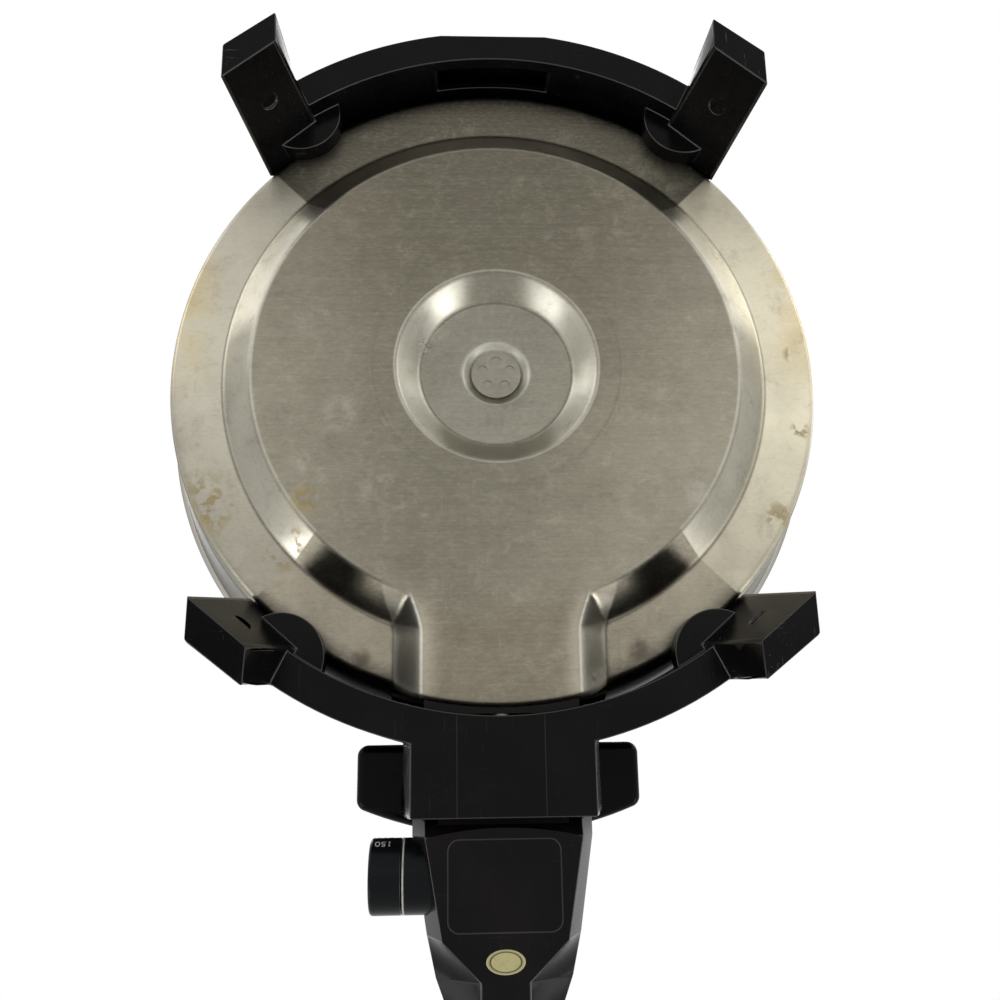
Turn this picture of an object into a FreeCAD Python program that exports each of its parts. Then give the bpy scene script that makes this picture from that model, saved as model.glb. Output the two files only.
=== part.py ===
import FreeCAD, Part
import math
import os

from FreeCAD import Vector

# Electric skillet with moulded leg brackets, a probe control and a loose lid.
# Millimetres, +Z up, feet on z = 0. The control points along -Y, its dial along +X.
# Every piece is drawn about the pan's upright axis and moved once, in save().

# Reach of cutting forms past a face, overlap of joined forms, and the tolerance for edges
cut_past = 1.0
cut_far = 10.0
weld = 1.0
touch = 0.01

# Bottom shell, one pressed steel sheet under the pan
shell_radius = 150.0
shell_sheet = 1.2
leg_height = 60.0
disc_drop = 12.8
disc_radius = 111.3
ring_inner_radius = 126.0
shell_edge_round = 3.0
press_round = 3.0
recess_depth = 11.5
recess_radius = 46.1
recess_floor_radius = 35.3
dimple_depth = 3.4
dimple_radius = 15.6
dimple_ceiling_radius = 12.2
shell_wall_height = 6.5
lip_width = 1.0
lip_height = 2.4

# Tongue of the shell, which brings the heater ends to the front
tongue_half_width = 34.0
tongue_root_half_width = 39.0
tongue_side_run = 11.8
tongue_root_length = 52.0
tongue_ease_length = 22.0
tongue_overhang = 2.8
tongue_cover_height = 4.0

# Filler plug in the dimple
plug_radius = 11.5
plug_height = 1.4
plug_spot_count = 5
plug_spot_radius = 2.4
plug_spot_circle = 6.6
plug_spot_depth = 0.4
plug_stem_radius = 4.0
plug_stem_length = 2.2

# Pan
pan_sheet = 1.6
pan_floor_rise = 4.9
pan_wall_step = 0.7
pan_corner_round = 9.0
pan_height = 61.1
rim_flare = 14.0
bead_radius = 2.1
lip_clear_height = 4.0

# Heating element inside the sealed space
element_radius = 84.0
element_tube_radius = 4.0
element_drop = 4.0
element_bend_radius = 14.0
element_end_inset = 5.8
clip_count = 3
clip_width = 8.0
clip_wall = 2.0
clip_wrap = 2.0

# Terminals and probe well in the tongue's end wall
terminal_drop = 3.0
pin_spacing = 42.0
pin_radius = 2.6
pin_reach = 21.2
pin_tip_round = 1.56
plate_half_width = 32.5
plate_thickness = 2.5
plate_height = 14.0
insulator_radius = 4.6
insulator_length = 8.0
insulator_nose = 1.7
seal_radius = 6.5
seal_thickness = 1.6
well_radius = 4.6
well_bore_radius = 3.5
well_length = 56.0
well_mouth = 1.2
well_end_wall = 1.5

# Leg brackets, one moulding at each end of the pan
arc_drop = 19.0
arc_gap = 6.5
arc_width = 15.0
arc_height = 47.0
arc_half_angle = 34.5
bracket_wall = 3.0
channel_half_angle = 30.0
notch_gap = 0.1
bracket_clearance = 0.3
leg_angle = 40.5
leg_foot = [(25.0, -21.4), (26.2, 6.9), (13.6, 17.5), (13.1, -12.2)]
leg_top = [(19.2, -20.2), (13.5, 4.7), (0.3, 15.4), (0.9, -18.3)]
leg_mark_radius = 4.0
leg_mark_depth = 0.4
leg_mark_height = 25.0
tab_angle = 35.5
tab_radius = 19.0
tab_offset = 10.9
tab_height = 9.6
rear_flat = 1.9
pocket_half_width = 27.0
pocket_drop = 12.5
pocket_height = 15.0

# Shroud, the tunnel of the front bracket that the control slides into
shroud_reach = 46.6
shroud_half_width = 37.6
shroud_flare = 3.9
shroud_flare_height = 20.0
shroud_floor = 3.5
shroud_wall = 3.2
shroud_corner_round = 10.0
cheek_length = 17.0
window_half_width = 34.2
window_height = 26.0

# Handles
cap_height = 4.0
handle_half_width = 64.5
handle_inner_reach = 16.5
handle_outer_reach = 57.0
handle_side_reach = 44.0
grip_rise = 8.0
grip_height = 16.0
grip_corner_round = 5.0
grip_edge_round = 4.0
stem_half_width = 37.0
stem_height = 18.0
stem_length = 30.0
stem_gap = 1.2

# Mounting plates welded to the pan wall, and their screws
mount_sheet = 1.5
mount_half_angle = 18.0
mount_angle_gap = 0.5
mount_leaf_height = 14.0
screw_angle = 16.0
screw_radius = 2.0
screw_head_radius = 3.8
screw_head_height = 2.2
screw_length = 20.0
screw_slot = 0.9
screw_slot_half_length = 2.28
screw_end_gap = 1.0
boss_radius = 5.2
fit = 0.05

# Probe control: distances along Y are measured forward of the shroud's edge
control_gap = 0.3
control_drop = 15.0
control_wall = 2.5
parting_height = 17.0
face_start = 7.0
face_end = 45.6
facet_end = 61.5
taper_end = 71.0
control_length = 95.4
face_half_width = 31.8
crease_half_width = 25.0
neck_half_width = 9.6
parting_half_width = 37.6
crease_parting_half_width = 31.4
taper_half_width = 24.2
tail_half_width = 12.5
recess_rise = 5.0
facet_rise = 4.5
neck_rise = 6.0
top_height = 35.0
taper_top_drop = 7.0
tail_top_drop = 12.0
top_inset = 6.0

# Contact block, contacts and probe
block_half_width = 26.5
block_height = 17.0
block_nose = 33.6
block_tail = 9.4
block_drop = 8.5
block_round = 3.0
contact_radius = 3.9
contact_bore_radius = 2.9
contact_length = 20.0
contact_end_wall = 1.0
probe_radius = 3.2
probe_reach = 60.0
probe_tail = 18.0
probe_tip_round = 2.24

# Thermostat inside the control
frame_sheet = 1.5
frame_half_width = 14.0
frame_height = 24.0
frame_length = 25.5
stack_half_width = 6.0
stack_length = 6.0
stack_height = 20.0
stack_gap = 0.5
stack_inset = 9.0
blade_half_width = 4.0
blade_length = 28.0
blade_sheet = 0.8
blade_heights = [11.6, 15.6]
switch_contact_radius = 2.0
switch_contact_inset = 3.0

# Dial on the +X side
dial_reach = 22.7
dial_radius = 15.0
dial_start = 41.5
dial_length = 13.0
dial_wall = 2.5
dial_hub_radius = 6.0
dial_end_round = 1.5
spindle_radius = 3.0
spindle_running_gap = 0.05
spindle_inner_x = 8.0
bezel_start = 27.0
bezel_bore_radius = 12.0
indicator_ring_sheet = 0.8
indicator_gap = 0.4
collar_radius = 5.0
collar_width = 2.0

# Lamp, inlet bush, sticker and screws of the control
lamp_x = -14.0
lamp_reach = 24.0
lens_radius = 4.5
lens_height = 3.0
lens_flange_radius = 5.8
lens_flange_height = 1.2
lens_foot = 1.0
lens_round = 1.2
lens_bore_depth = 0.5
lamp_radius = 2.6
lamp_length = 12.0
lamp_round = 1.82
bush_radius = 7.5
bush_end_radius = 5.6
bush_length = 16.0
bush_bore_radius = 3.8
bush_neck_radius = 5.0
bush_flange_radius = 5.9
bush_flange_height = 1.5
bush_rise = 14.5
sticker_half_length = 7.7
sticker_half_width = 5.0
sticker_sheet = 0.3
housing_screw_reach = 40.0
housing_screw_x = 15.0
housing_screw_length = 26.0
housing_screw_radius = 1.6
housing_screw_head_radius = 3.0
housing_boss_radius = 4.0

# Lid
lid_sheet = 0.9
lid_gap = 0.3
lid_flange_width = 8.5
lid_dome_rise = 30.0
lid_wall_height = 11.0
lid_wall_run = 5.5
skirt_gap = 1.6
skirt_height = 5.0
lid_knob_radius = 19.0
lid_knob_neck_radius = 10.0
lid_knob_height = 25.0
lid_knob_base_radius = 12.0
lid_knob_base_round = 1.0
lid_knob_waist_height = 11.25
lid_knob_waist_round = 4.0
lid_knob_under_rise = 4.0
lid_knob_under_round = 2.5
lid_knob_crown_drop = 2.0
lid_knob_crown_round = 5.0
lid_washer_radius = 14.0
lid_washer_height = 1.5
lid_screw_radius = 2.5
lid_screw_head_radius = 5.5
lid_screw_head_height = 2.6
lid_screw_length = 18.0
lid_screw_gap = 0.1
lid_screw_end_gap = 1.0
vent_radius = 95.0
vent_bore_radius = 2.6
vent_barrel_radius = 3.8
vent_flange_radius = 6.0
vent_flange_height = 0.8
vent_barrel_length = 3.0
vent_gap = 0.1
vent_overlap = 0.5

# Heights and places that follow from the sizes above
ring_z = leg_height
disc_z = ring_z - disc_drop
recess_z = disc_z + recess_depth
dimple_z = recess_z + dimple_depth
shell_top_z = ring_z + shell_wall_height
pan_under_z = ring_z + pan_floor_rise
rim_z = pan_under_z + pan_height
rim_radius = shell_radius + rim_flare
wall_top_z = rim_z - bead_radius
wall_top_radius = rim_radius - bead_radius
wall_foot_radius = shell_radius + pan_wall_step
element_z = ring_z - element_drop
terminal_z = ring_z - terminal_drop
tongue_radius = shell_radius + tongue_overhang
plate_y = -tongue_radius - plate_thickness
pin_half_spacing = pin_spacing / 2
arc_z = ring_z - arc_drop
arc_top_z = arc_z + arc_height
arc_inner = shell_radius + arc_gap
arc_outer = arc_inner + arc_width
channel_radius = (arc_inner + arc_outer) / 2
shroud_y = -(shell_radius + shroud_reach)
control_y = shroud_y - control_gap
control_z = ring_z - control_drop
parting_z = control_z + parting_height
control_top_z = control_z + top_height
block_z = terminal_z - block_drop
dial_y = control_y - dial_reach
bezel_end = dial_start - indicator_gap - indicator_ring_sheet
lid_z = rim_z + lid_gap
lid_wall_z = lid_z + lid_sheet
lid_top_z = lid_wall_z + lid_wall_height + lid_dome_rise
lid_foot_radius = rim_radius - lid_flange_width
lid_dome_radius = lid_foot_radius - lid_wall_run
dome_sphere = (lid_dome_radius ** 2 + lid_dome_rise ** 2) / (2 * lid_dome_rise)
screw_top_z = arc_top_z + cap_height


def pan_outer(z):
    """Outer radius of the pan's flared wall at a height."""
    share = (z - pan_under_z) / (wall_top_z - pan_under_z)
    return wall_foot_radius + share * (wall_top_radius - wall_foot_radius)


def path_edges(points):
    """Lines and corner arcs in the XZ plane through (x, z, corner radius) points."""
    corners = [Vector(point[0], 0, point[1]) for point in points]
    edges = []
    start = corners[0]
    for index in range(1, len(corners) - 1):
        corner = corners[index]
        before = (corner - corners[index - 1]).normalize()
        after = (corners[index + 1] - corner).normalize()
        turn = before.getAngle(after)
        radius = points[index][2]
        if radius > 0 and turn > 0.001:
            reach = radius * math.tan(turn / 2)
            enter = corner - before * reach
            leave = corner + after * reach
            inward = (after - before).normalize()
            middle = corner + inward * (radius / math.cos(turn / 2) - radius)
            edges.append(Part.LineSegment(start, enter).toShape())
            edges.append(Part.Arc(enter, middle, leave).toShape())
            start = leave
        else:
            edges.append(Part.LineSegment(start, corner).toShape())
            start = corner
    edges.append(Part.LineSegment(start, corners[-1]).toShape())
    return edges


def spun(points, half_angle=180.0):
    """Solid of revolution about the pan's axis, whole or centred on +Y."""
    face = Part.Face(Part.Wire(path_edges(points + [points[0]])))
    face.rotate(Vector(0, 0, 0), Vector(0, 0, 1), 90.0 - half_angle)
    return face.revolve(Vector(0, 0, 0), Vector(0, 0, 1), 2 * half_angle)


def offset_path(points, gap):
    """The same open path moved to its left by a gap, with its corners mitred."""
    moved = []
    last = len(points) - 1
    for index, point in enumerate(points):
        normals = []
        for first in (index - 1, index):
            if 0 <= first < last:
                run = points[first + 1][0] - points[first][0]
                rise = points[first + 1][1] - points[first][1]
                length = math.hypot(run, rise)
                normals.append((-rise / length, run / length))
        across = sum(normal[0] for normal in normals)
        along = sum(normal[1] for normal in normals)
        turn = 0.0
        if len(normals) == 2:
            dot = normals[0][0] * normals[1][0] + normals[0][1] * normals[1][1]
            turn = normals[0][0] * normals[1][1] - normals[0][1] * normals[1][0]
            across = across / (1 + dot)
            along = along / (1 + dot)
        radius = point[2]
        if radius > 0:
            radius = radius - math.copysign(gap, turn)
        moved.append((point[0] + across * gap, point[1] + along * gap, radius))
    return moved


def box(x0, x1, y0, y1, z0, z1):
    """Box between pairs of coordinates."""
    return Part.makeBox(x1 - x0, y1 - y0, z1 - z0, Vector(x0, y0, z0))


def rod(radius, start, end):
    """Round bar between two points."""
    return Part.makeCylinder(radius, (end - start).Length, start, end - start)


def tube(outer, inner, start, end):
    """Round tube between two points."""
    return rod(outer, start, end).cut(rod(inner, start, end))


def loft(sections):
    """Ruled solid through closed polygons with equal numbers of corners."""
    wires = [Part.makePolygon(section + [section[0]]) for section in sections]
    return Part.makeLoft(wires, True, True)


def at_front(shape):
    """Copy of a piece made for the rear, turned to the front."""
    turned = shape.copy()
    turned.rotate(Vector(0, 0, 0), Vector(0, 0, 1), 180.0)
    return turned


def mirrored(shape):
    """Copy of a piece on the other side of the middle plane."""
    return shape.mirror(Vector(0, 0, 0), Vector(1, 0, 0))


def polar(radius, angle, z):
    """Point at a radius and at an angle in degrees from +Y towards +X."""
    turn = math.radians(angle)
    return Vector(radius * math.sin(turn), radius * math.cos(turn), z)


def pan_envelope(gap):
    """Space that the pan and its bottom shell take up, with a gap around them."""
    clear_z = shell_top_z + lip_clear_height
    outline = [
        (0, ring_z, 0),
        (shell_radius + gap, ring_z, 0),
        (shell_radius + gap, ring_z + lip_height, 0),
        (shell_radius + lip_width + gap, ring_z + lip_height, 0),
        (wall_foot_radius + gap + lip_width, shell_top_z, 0),
        (pan_outer(clear_z) + gap, clear_z, 0),
        (wall_top_radius + gap, wall_top_z, 0),
        (0, wall_top_z, 0),
    ]
    return spun(outline)


def cooking_pan():
    """Pressed pan: floor, round corner, flared wall and rolled rim."""
    slope = math.atan2(wall_top_radius - wall_foot_radius, wall_top_z - pan_under_z)
    across = pan_sheet / math.cos(slope)
    floor_z = pan_under_z + pan_sheet
    outline = [
        (0, pan_under_z, 0),
        (wall_foot_radius, pan_under_z, pan_corner_round),
        (wall_top_radius, wall_top_z, 0),
        (wall_top_radius - across, wall_top_z, 0),
        (pan_outer(floor_z) - across, floor_z, pan_corner_round - pan_sheet),
        (0, floor_z, 0),
    ]
    rim = Part.makeTorus(wall_top_radius, bead_radius, Vector(0, 0, wall_top_z))
    return spun(outline).fuse(rim)


def shell_path():
    """Underside of the bottom shell from its axis to the top of its wall."""
    return [
        (0, dimple_z, 0),
        (dimple_ceiling_radius, dimple_z, 0),
        (dimple_radius, recess_z, 0),
        (recess_floor_radius, recess_z, press_round),
        (recess_radius, disc_z, press_round),
        (disc_radius, disc_z, press_round),
        (ring_inner_radius, ring_z, press_round),
        (shell_radius, ring_z, shell_edge_round),
        (shell_radius, shell_top_z, 0),
    ]


def tongue_block(inset):
    """Tongue as a solid, drawn in by an inset from every side but its root."""
    top_z = disc_z + inset
    cover_z = ring_z + tongue_cover_height - inset
    root_y = -(tongue_radius - tongue_root_length)
    ease_y = root_y - tongue_ease_length
    front_y = -tongue_radius - cut_past
    sections = []
    for y, half in ((root_y, tongue_root_half_width), (ease_y, tongue_half_width),
                    (front_y, tongue_half_width)):
        top = half - inset
        base = half + tongue_side_run - inset
        sections.append([
            Vector(-top, y, top_z),
            Vector(top, y, top_z),
            Vector(base, y, ring_z + inset / 2),
            Vector(base, y, cover_z),
            Vector(-base, y, cover_z),
            Vector(-base, y, ring_z + inset / 2),
        ])
    limit = Part.makeCylinder(tongue_radius - inset, disc_drop + tongue_cover_height + 2 * cut_past,
                              Vector(0, 0, disc_z - cut_past))
    return loft(sections).common(limit)


def front_bores(radius, both, middle):
    """Bars along Y at the two pins, at the probe, or at all three."""
    places = []
    if both:
        places += [-pin_half_spacing, pin_half_spacing]
    if middle:
        places.append(0.0)
    start = -tongue_radius + cut_far
    end = plate_y - cut_far
    return [rod(radius, Vector(x, start, terminal_z), Vector(x, end, terminal_z))
            for x in places]


def bottom_shell():
    """Bottom shell with ring, disc, recess, dimple, tongue and rolled lip."""
    path = shell_path()
    outer = spun(path + [(0, shell_top_z, 0)]).fuse(tongue_block(0.0))
    inside = offset_path(path, shell_sheet)
    mouth = inside[-1][0]
    hollow = spun(inside[:-1] + [(mouth, shell_top_z + cut_past, 0), (0, shell_top_z + cut_past, 0)])
    shell = outer.cut(hollow.fuse(tongue_block(shell_sheet)))
    lip = spun([
        (shell_radius, shell_top_z - lip_height, 0),
        (shell_radius + lip_width, shell_top_z - lip_height, lip_width / 3),
        (shell_radius + lip_width, shell_top_z, lip_width / 3),
        (shell_radius, shell_top_z, 0),
    ])
    shell = shell.fuse(lip)
    for bore in front_bores(insulator_radius + fit, True, False):
        shell = shell.cut(bore)
    for bore in front_bores(well_radius + fit, False, True):
        shell = shell.cut(bore)
    stem_hole = rod(plug_stem_radius + fit, Vector(0, 0, recess_z), Vector(0, 0, shell_top_z))
    return shell.cut(stem_hole)


def fill_plug():
    """Plug of the sealed space: a disc with five shallow marks and a short stem."""
    under_z = dimple_z - plug_height
    plug = rod(plug_radius, Vector(0, 0, under_z), Vector(0, 0, dimple_z))
    plug = plug.fuse(rod(plug_stem_radius, Vector(0, 0, under_z),
                         Vector(0, 0, dimple_z + plug_stem_length)))
    for index in range(plug_spot_count):
        place = polar(plug_spot_circle, 360.0 / plug_spot_count * index, under_z)
        plug = plug.cut(rod(plug_spot_radius, place, place + Vector(0, 0, plug_spot_depth)))
    return plug


def element_end_y():
    """Front end of the element's sheath."""
    return -(tongue_radius - element_end_inset)


def heating_element():
    """Sheathed element: an open ring whose ends turn forward into the tongue."""
    bend_x = pin_half_spacing + element_bend_radius
    bend_y = -math.sqrt((element_radius + element_bend_radius) ** 2 - bend_x ** 2)
    share = element_radius / (element_radius + element_bend_radius)
    bend = Vector(bend_x, bend_y, element_z)
    joint = Vector(bend_x * share, bend_y * share, element_z)
    leg_start = Vector(pin_half_spacing, bend_y, element_z)
    leg_end = Vector(pin_half_spacing, element_end_y(), element_z)
    to_middle = ((joint - bend) + (leg_start - bend)).normalize()
    bend_middle = bend + to_middle * element_bend_radius

    def other(point):
        return Vector(-point.x, point.y, point.z)

    edges = [
        Part.LineSegment(leg_end, leg_start).toShape(),
        Part.Arc(leg_start, bend_middle, joint).toShape(),
        Part.Arc(joint, Vector(0, element_radius, element_z), other(joint)).toShape(),
        Part.Arc(other(joint), other(bend_middle), other(leg_start)).toShape(),
        Part.LineSegment(other(leg_start), other(leg_end)).toShape(),
    ]
    section = Part.Wire(Part.makeCircle(element_tube_radius, leg_end, Vector(0, 1, 0)))
    return Part.Wire(edges).makePipeShell([section], True, False)


def element_clips():
    """Saddles under the pan floor that hold the element's ring."""
    ring = Part.makeTorus(element_radius, element_tube_radius, Vector(0, 0, element_z))
    reach = element_tube_radius + clip_wall
    clips = []
    for index in range(clip_count):
        clip = box(-clip_width / 2, clip_width / 2, element_radius - reach,
                   element_radius + reach, element_z - clip_wrap, pan_under_z)
        clip.rotate(Vector(0, 0, 0), Vector(0, 0, 1), 360.0 / clip_count * index)
        clips.append(clip.cut(ring))
    return Part.makeCompound(clips)


def terminal_plate():
    """Plate on the tongue's end wall that carries the pins and the probe well."""
    bottom = terminal_z - plate_height / 2
    plate = box(-plate_half_width, plate_half_width, plate_y, -tongue_radius + cut_far,
                bottom, bottom + plate_height)
    wall = Part.makeCylinder(tongue_radius, plate_height + 2 * cut_past,
                             Vector(0, 0, bottom - cut_past))
    plate = plate.cut(wall)
    for bore in front_bores(insulator_radius + fit, True, False):
        plate = plate.cut(bore)
    for bore in front_bores(well_radius + fit, False, True):
        plate = plate.cut(bore)
    return plate


def pin_pair(make):
    """The same piece at both heater pins."""
    return Part.makeCompound([make(-pin_half_spacing), make(pin_half_spacing)])


def terminal_pin(x):
    """Contact pin from the element's end, with a rounded tip."""
    start = Vector(x, element_end_y(), terminal_z)
    end = Vector(x, plate_y - pin_reach, terminal_z)
    pin = rod(pin_radius, start, end)
    tip = [edge for edge in pin.Edges
           if edge.BoundBox.YMax < end.y + touch and edge.BoundBox.XLength > pin_radius]
    return pin.makeFillet(pin_tip_round, tip)


def pin_insulator(x):
    """Ceramic sleeve around a pin where it passes the wall and the plate."""
    end = Vector(x, plate_y - insulator_nose, terminal_z)
    start = Vector(x, end.y + insulator_length, terminal_z)
    return tube(insulator_radius, pin_radius + fit, start, end)


def pin_seal(x):
    """Red rubber ring around an insulator, against the plate."""
    start = Vector(x, plate_y, terminal_z)
    end = Vector(x, plate_y - seal_thickness, terminal_z)
    return tube(seal_radius, insulator_radius + fit, start, end)


def probe_well():
    """Blind tube that reaches into the sealed space and takes the probe."""
    mouth = Vector(0, plate_y - well_mouth, terminal_z)
    end = Vector(0, mouth.y + well_length, terminal_z)
    bottom = Vector(0, end.y - well_end_wall, terminal_z)
    return rod(well_radius, mouth, end).cut(rod(well_bore_radius, mouth, bottom))


def leg_corner(index, z):
    """A corner of the rear leg on the +X side at a height."""
    share = z / leg_height
    reach = leg_foot[index][0] + share * (leg_top[index][0] - leg_foot[index][0])
    side = leg_foot[index][1] + share * (leg_top[index][1] - leg_foot[index][1])
    turn = math.radians(leg_angle)
    outward = Vector(math.sin(turn), math.cos(turn), 0)
    across = Vector(math.cos(turn), -math.sin(turn), 0)
    return outward * (shell_radius + reach) + across * side + Vector(0, 0, z)


def leg():
    """Slanted slab of one leg, from the foot to the top of the bracket."""
    order = range(len(leg_foot))
    slab = loft([[leg_corner(index, z) for index in order] for z in (0.0, arc_top_z)])
    inner = (leg_corner(2, leg_mark_height) + leg_corner(3, leg_mark_height)) * 0.5
    turn = math.radians(leg_angle)
    outward = Vector(math.sin(turn), math.cos(turn), 0)
    mark = rod(leg_mark_radius, inner - outward * cut_far, inner + outward * leg_mark_depth)
    return slab.cut(mark)


def ring_sector(inner, outer, bottom, top, half_angle):
    """Part of a flat ring, centred on +Y."""
    outline = [(inner, bottom, 0), (outer, bottom, 0), (outer, top, 0), (inner, top, 0)]
    return spun(outline, half_angle)


def screw_places():
    """The two handle screws of the rear bracket, on the channel's middle line."""
    return [polar(channel_radius, angle, 0) for angle in (-screw_angle, screw_angle)]


def screw_bores():
    """Bores for the rear handle screws, down from the top of the cap."""
    up = Vector(0, 0, 1)
    return Part.makeCompound([
        rod(screw_radius + fit, place + up * (screw_top_z - screw_length), place + up * screw_top_z)
        for place in screw_places()])


def bracket_blank():
    """Rear bracket: arc with an open channel, two legs, two tabs and two bosses."""
    bracket = ring_sector(arc_inner, arc_outer, arc_z, arc_top_z, arc_half_angle)
    for side in (leg(), mirrored(leg())):
        bracket = bracket.fuse(side)
    bracket = bracket.cut(ring_sector(arc_inner + bracket_wall, arc_outer - bracket_wall,
                                      arc_z + bracket_wall, arc_top_z + cut_past,
                                      channel_half_angle))
    for angle in (-tab_angle, tab_angle):
        centre = polar(shell_radius + tab_offset, angle, ring_z - tab_height)
        tab = rod(tab_radius, centre, centre + Vector(0, 0, tab_height))
        reach = Part.makeCylinder(arc_inner + weld, tab_height, Vector(0, 0, ring_z - tab_height))
        bracket = bracket.fuse(tab.common(reach))
    leaf_z = arc_top_z - mount_sheet
    for place in screw_places():
        boss = rod(boss_radius, place + Vector(0, 0, arc_z + weld), place + Vector(0, 0, leaf_z))
        bracket = bracket.fuse(boss)
    notch = ring_sector(arc_inner - cut_far, arc_inner + bracket_wall + notch_gap, leaf_z - fit,
                        arc_top_z + cut_past, mount_half_angle + mount_angle_gap)
    return bracket.cut(notch).cut(pan_envelope(bracket_clearance))


def rear_bracket():
    """Rear bracket with the flat on its back and the pocket in its inner wall."""
    bracket = bracket_blank()
    flat_y = arc_outer - rear_flat
    bracket = bracket.cut(box(-arc_outer, arc_outer, flat_y, arc_outer + cut_far,
                              arc_z - cut_past, arc_top_z + cut_past))
    pocket_z = ring_z - pocket_drop
    pocket = box(-pocket_half_width, pocket_half_width, arc_inner - cut_far,
                 arc_inner + bracket_wall + cut_past, pocket_z, pocket_z + pocket_height)
    return bracket.cut(pocket).cut(screw_bores())


def shroud_section(y, inset, floor_z, top_z):
    """Cross-section of the shroud, flared at its foot, drawn in by an inset."""
    foot = shroud_half_width - inset
    wide = foot + shroud_flare
    flare_z = arc_z + shroud_flare_height
    return [
        Vector(-foot, y, floor_z),
        Vector(foot, y, floor_z),
        Vector(wide, y, flare_z),
        Vector(wide, y, top_z),
        Vector(-wide, y, top_z),
        Vector(-wide, y, flare_z),
    ]


def front_bracket():
    """Front bracket with the shroud that guides the control."""
    root_y = -arc_inner - bracket_wall / 2
    tunnel_y = -arc_inner - bracket_wall - cut_past
    outer = loft([shroud_section(y, 0.0, arc_z, arc_top_z) for y in (root_y, shroud_y)])
    bracket = at_front(bracket_blank()).fuse(outer)
    floor_z = arc_z + shroud_floor
    tunnel = loft([shroud_section(y, shroud_wall, floor_z, arc_top_z + cut_past)
                   for y in (tunnel_y, shroud_y - cut_past)])
    window = box(-window_half_width, window_half_width, tunnel_y - cut_past, -arc_inner + cut_far,
                 floor_z, floor_z + window_height)
    cheek_y = shroud_y + cheek_length
    flare_z = arc_z + shroud_flare_height
    wide = shroud_half_width + shroud_flare + cut_past
    above = box(-wide, wide, shroud_y - cut_past, cheek_y, flare_z, arc_top_z + cut_past)
    corner_y = shroud_y + shroud_corner_round
    corner_z = flare_z - shroud_corner_round
    corner = box(-wide, wide, shroud_y - cut_past, corner_y, corner_z, flare_z + cut_past)
    corner = corner.cut(rod(shroud_corner_round, Vector(-wide, corner_y, corner_z),
                            Vector(wide, corner_y, corner_z)))
    leaf = at_front(ring_sector(arc_inner, arc_outer - bracket_wall,
                                arc_top_z - mount_sheet - fit, arc_top_z + cut_past,
                                mount_half_angle + mount_angle_gap))
    for space in (tunnel, window, above, corner, leaf, at_front(screw_bores())):
        bracket = bracket.cut(space)
    return bracket


def grip():
    """Cross bar of a handle with a curved outer edge and rounded edges."""
    bottom = arc_top_z + grip_rise
    inner_y = shell_radius + handle_inner_reach
    outer_y = shell_radius + handle_outer_reach
    side_y = shell_radius + handle_side_reach
    corners = [Vector(handle_half_width, side_y, bottom), Vector(handle_half_width, inner_y, bottom),
               Vector(-handle_half_width, inner_y, bottom), Vector(-handle_half_width, side_y, bottom)]
    edges = [Part.LineSegment(corners[index], corners[index + 1]).toShape() for index in range(3)]
    edges.append(Part.Arc(corners[3], Vector(0, outer_y, bottom), corners[0]).toShape())
    bar = Part.Face(Part.Wire(edges)).extrude(Vector(0, 0, grip_height))
    upright = [edge for edge in bar.Edges if edge.BoundBox.ZLength > grip_height - touch]
    bar = bar.makeFillet(grip_corner_round, upright)
    flat = [edge for edge in bar.Edges if edge.BoundBox.ZLength < touch]
    return bar.makeFillet(grip_edge_round, flat)


def rear_handle():
    """Rear handle: cap over the bracket's channel, stem and cross bar."""
    cap = ring_sector(arc_inner + fit, arc_outer, arc_top_z, screw_top_z, arc_half_angle)
    stem = box(-stem_half_width, stem_half_width, shell_radius,
               arc_outer + stem_length, arc_top_z, arc_top_z + stem_height)
    handle = cap.fuse(stem).fuse(grip())
    handle = handle.cut(pan_envelope(stem_gap))
    limit = spun([
        (0, arc_top_z - cut_past, 0),
        (arc_inner + fit, arc_top_z - cut_past, 0),
        (arc_inner + fit, screw_top_z, 0),
        (0, screw_top_z, 0),
    ])
    handle = handle.cut(limit)
    head_z = screw_top_z - screw_head_height
    for place in screw_places():
        handle = handle.cut(rod(screw_radius + fit, place + Vector(0, 0, arc_top_z - cut_past),
                                place + Vector(0, 0, screw_top_z + cut_past)))
        handle = handle.cut(rod(screw_head_radius + fit, place + Vector(0, 0, head_z),
                                place + Vector(0, 0, screw_top_z + stem_height)))
    return handle


def rear_mounting_plate():
    """Steel leaf on the pan wall, bent out over the bracket's channel."""
    low_z = arc_top_z - mount_sheet - mount_leaf_height
    leaf_z = arc_top_z - mount_sheet
    edge = arc_outer - bracket_wall - bracket_clearance
    plate = spun([
        (pan_outer(low_z) + fit, low_z, 0),
        (pan_outer(low_z) + fit + mount_sheet, low_z, 0),
        (pan_outer(leaf_z) + fit + mount_sheet, leaf_z, 0),
        (edge, leaf_z, 0),
        (edge, arc_top_z, 0),
        (pan_outer(arc_top_z) + fit, arc_top_z, 0),
    ], mount_half_angle)
    for place in screw_places():
        plate = plate.cut(rod(screw_radius + fit, place + Vector(0, 0, low_z),
                              place + Vector(0, 0, screw_top_z)))
    return plate


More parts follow.
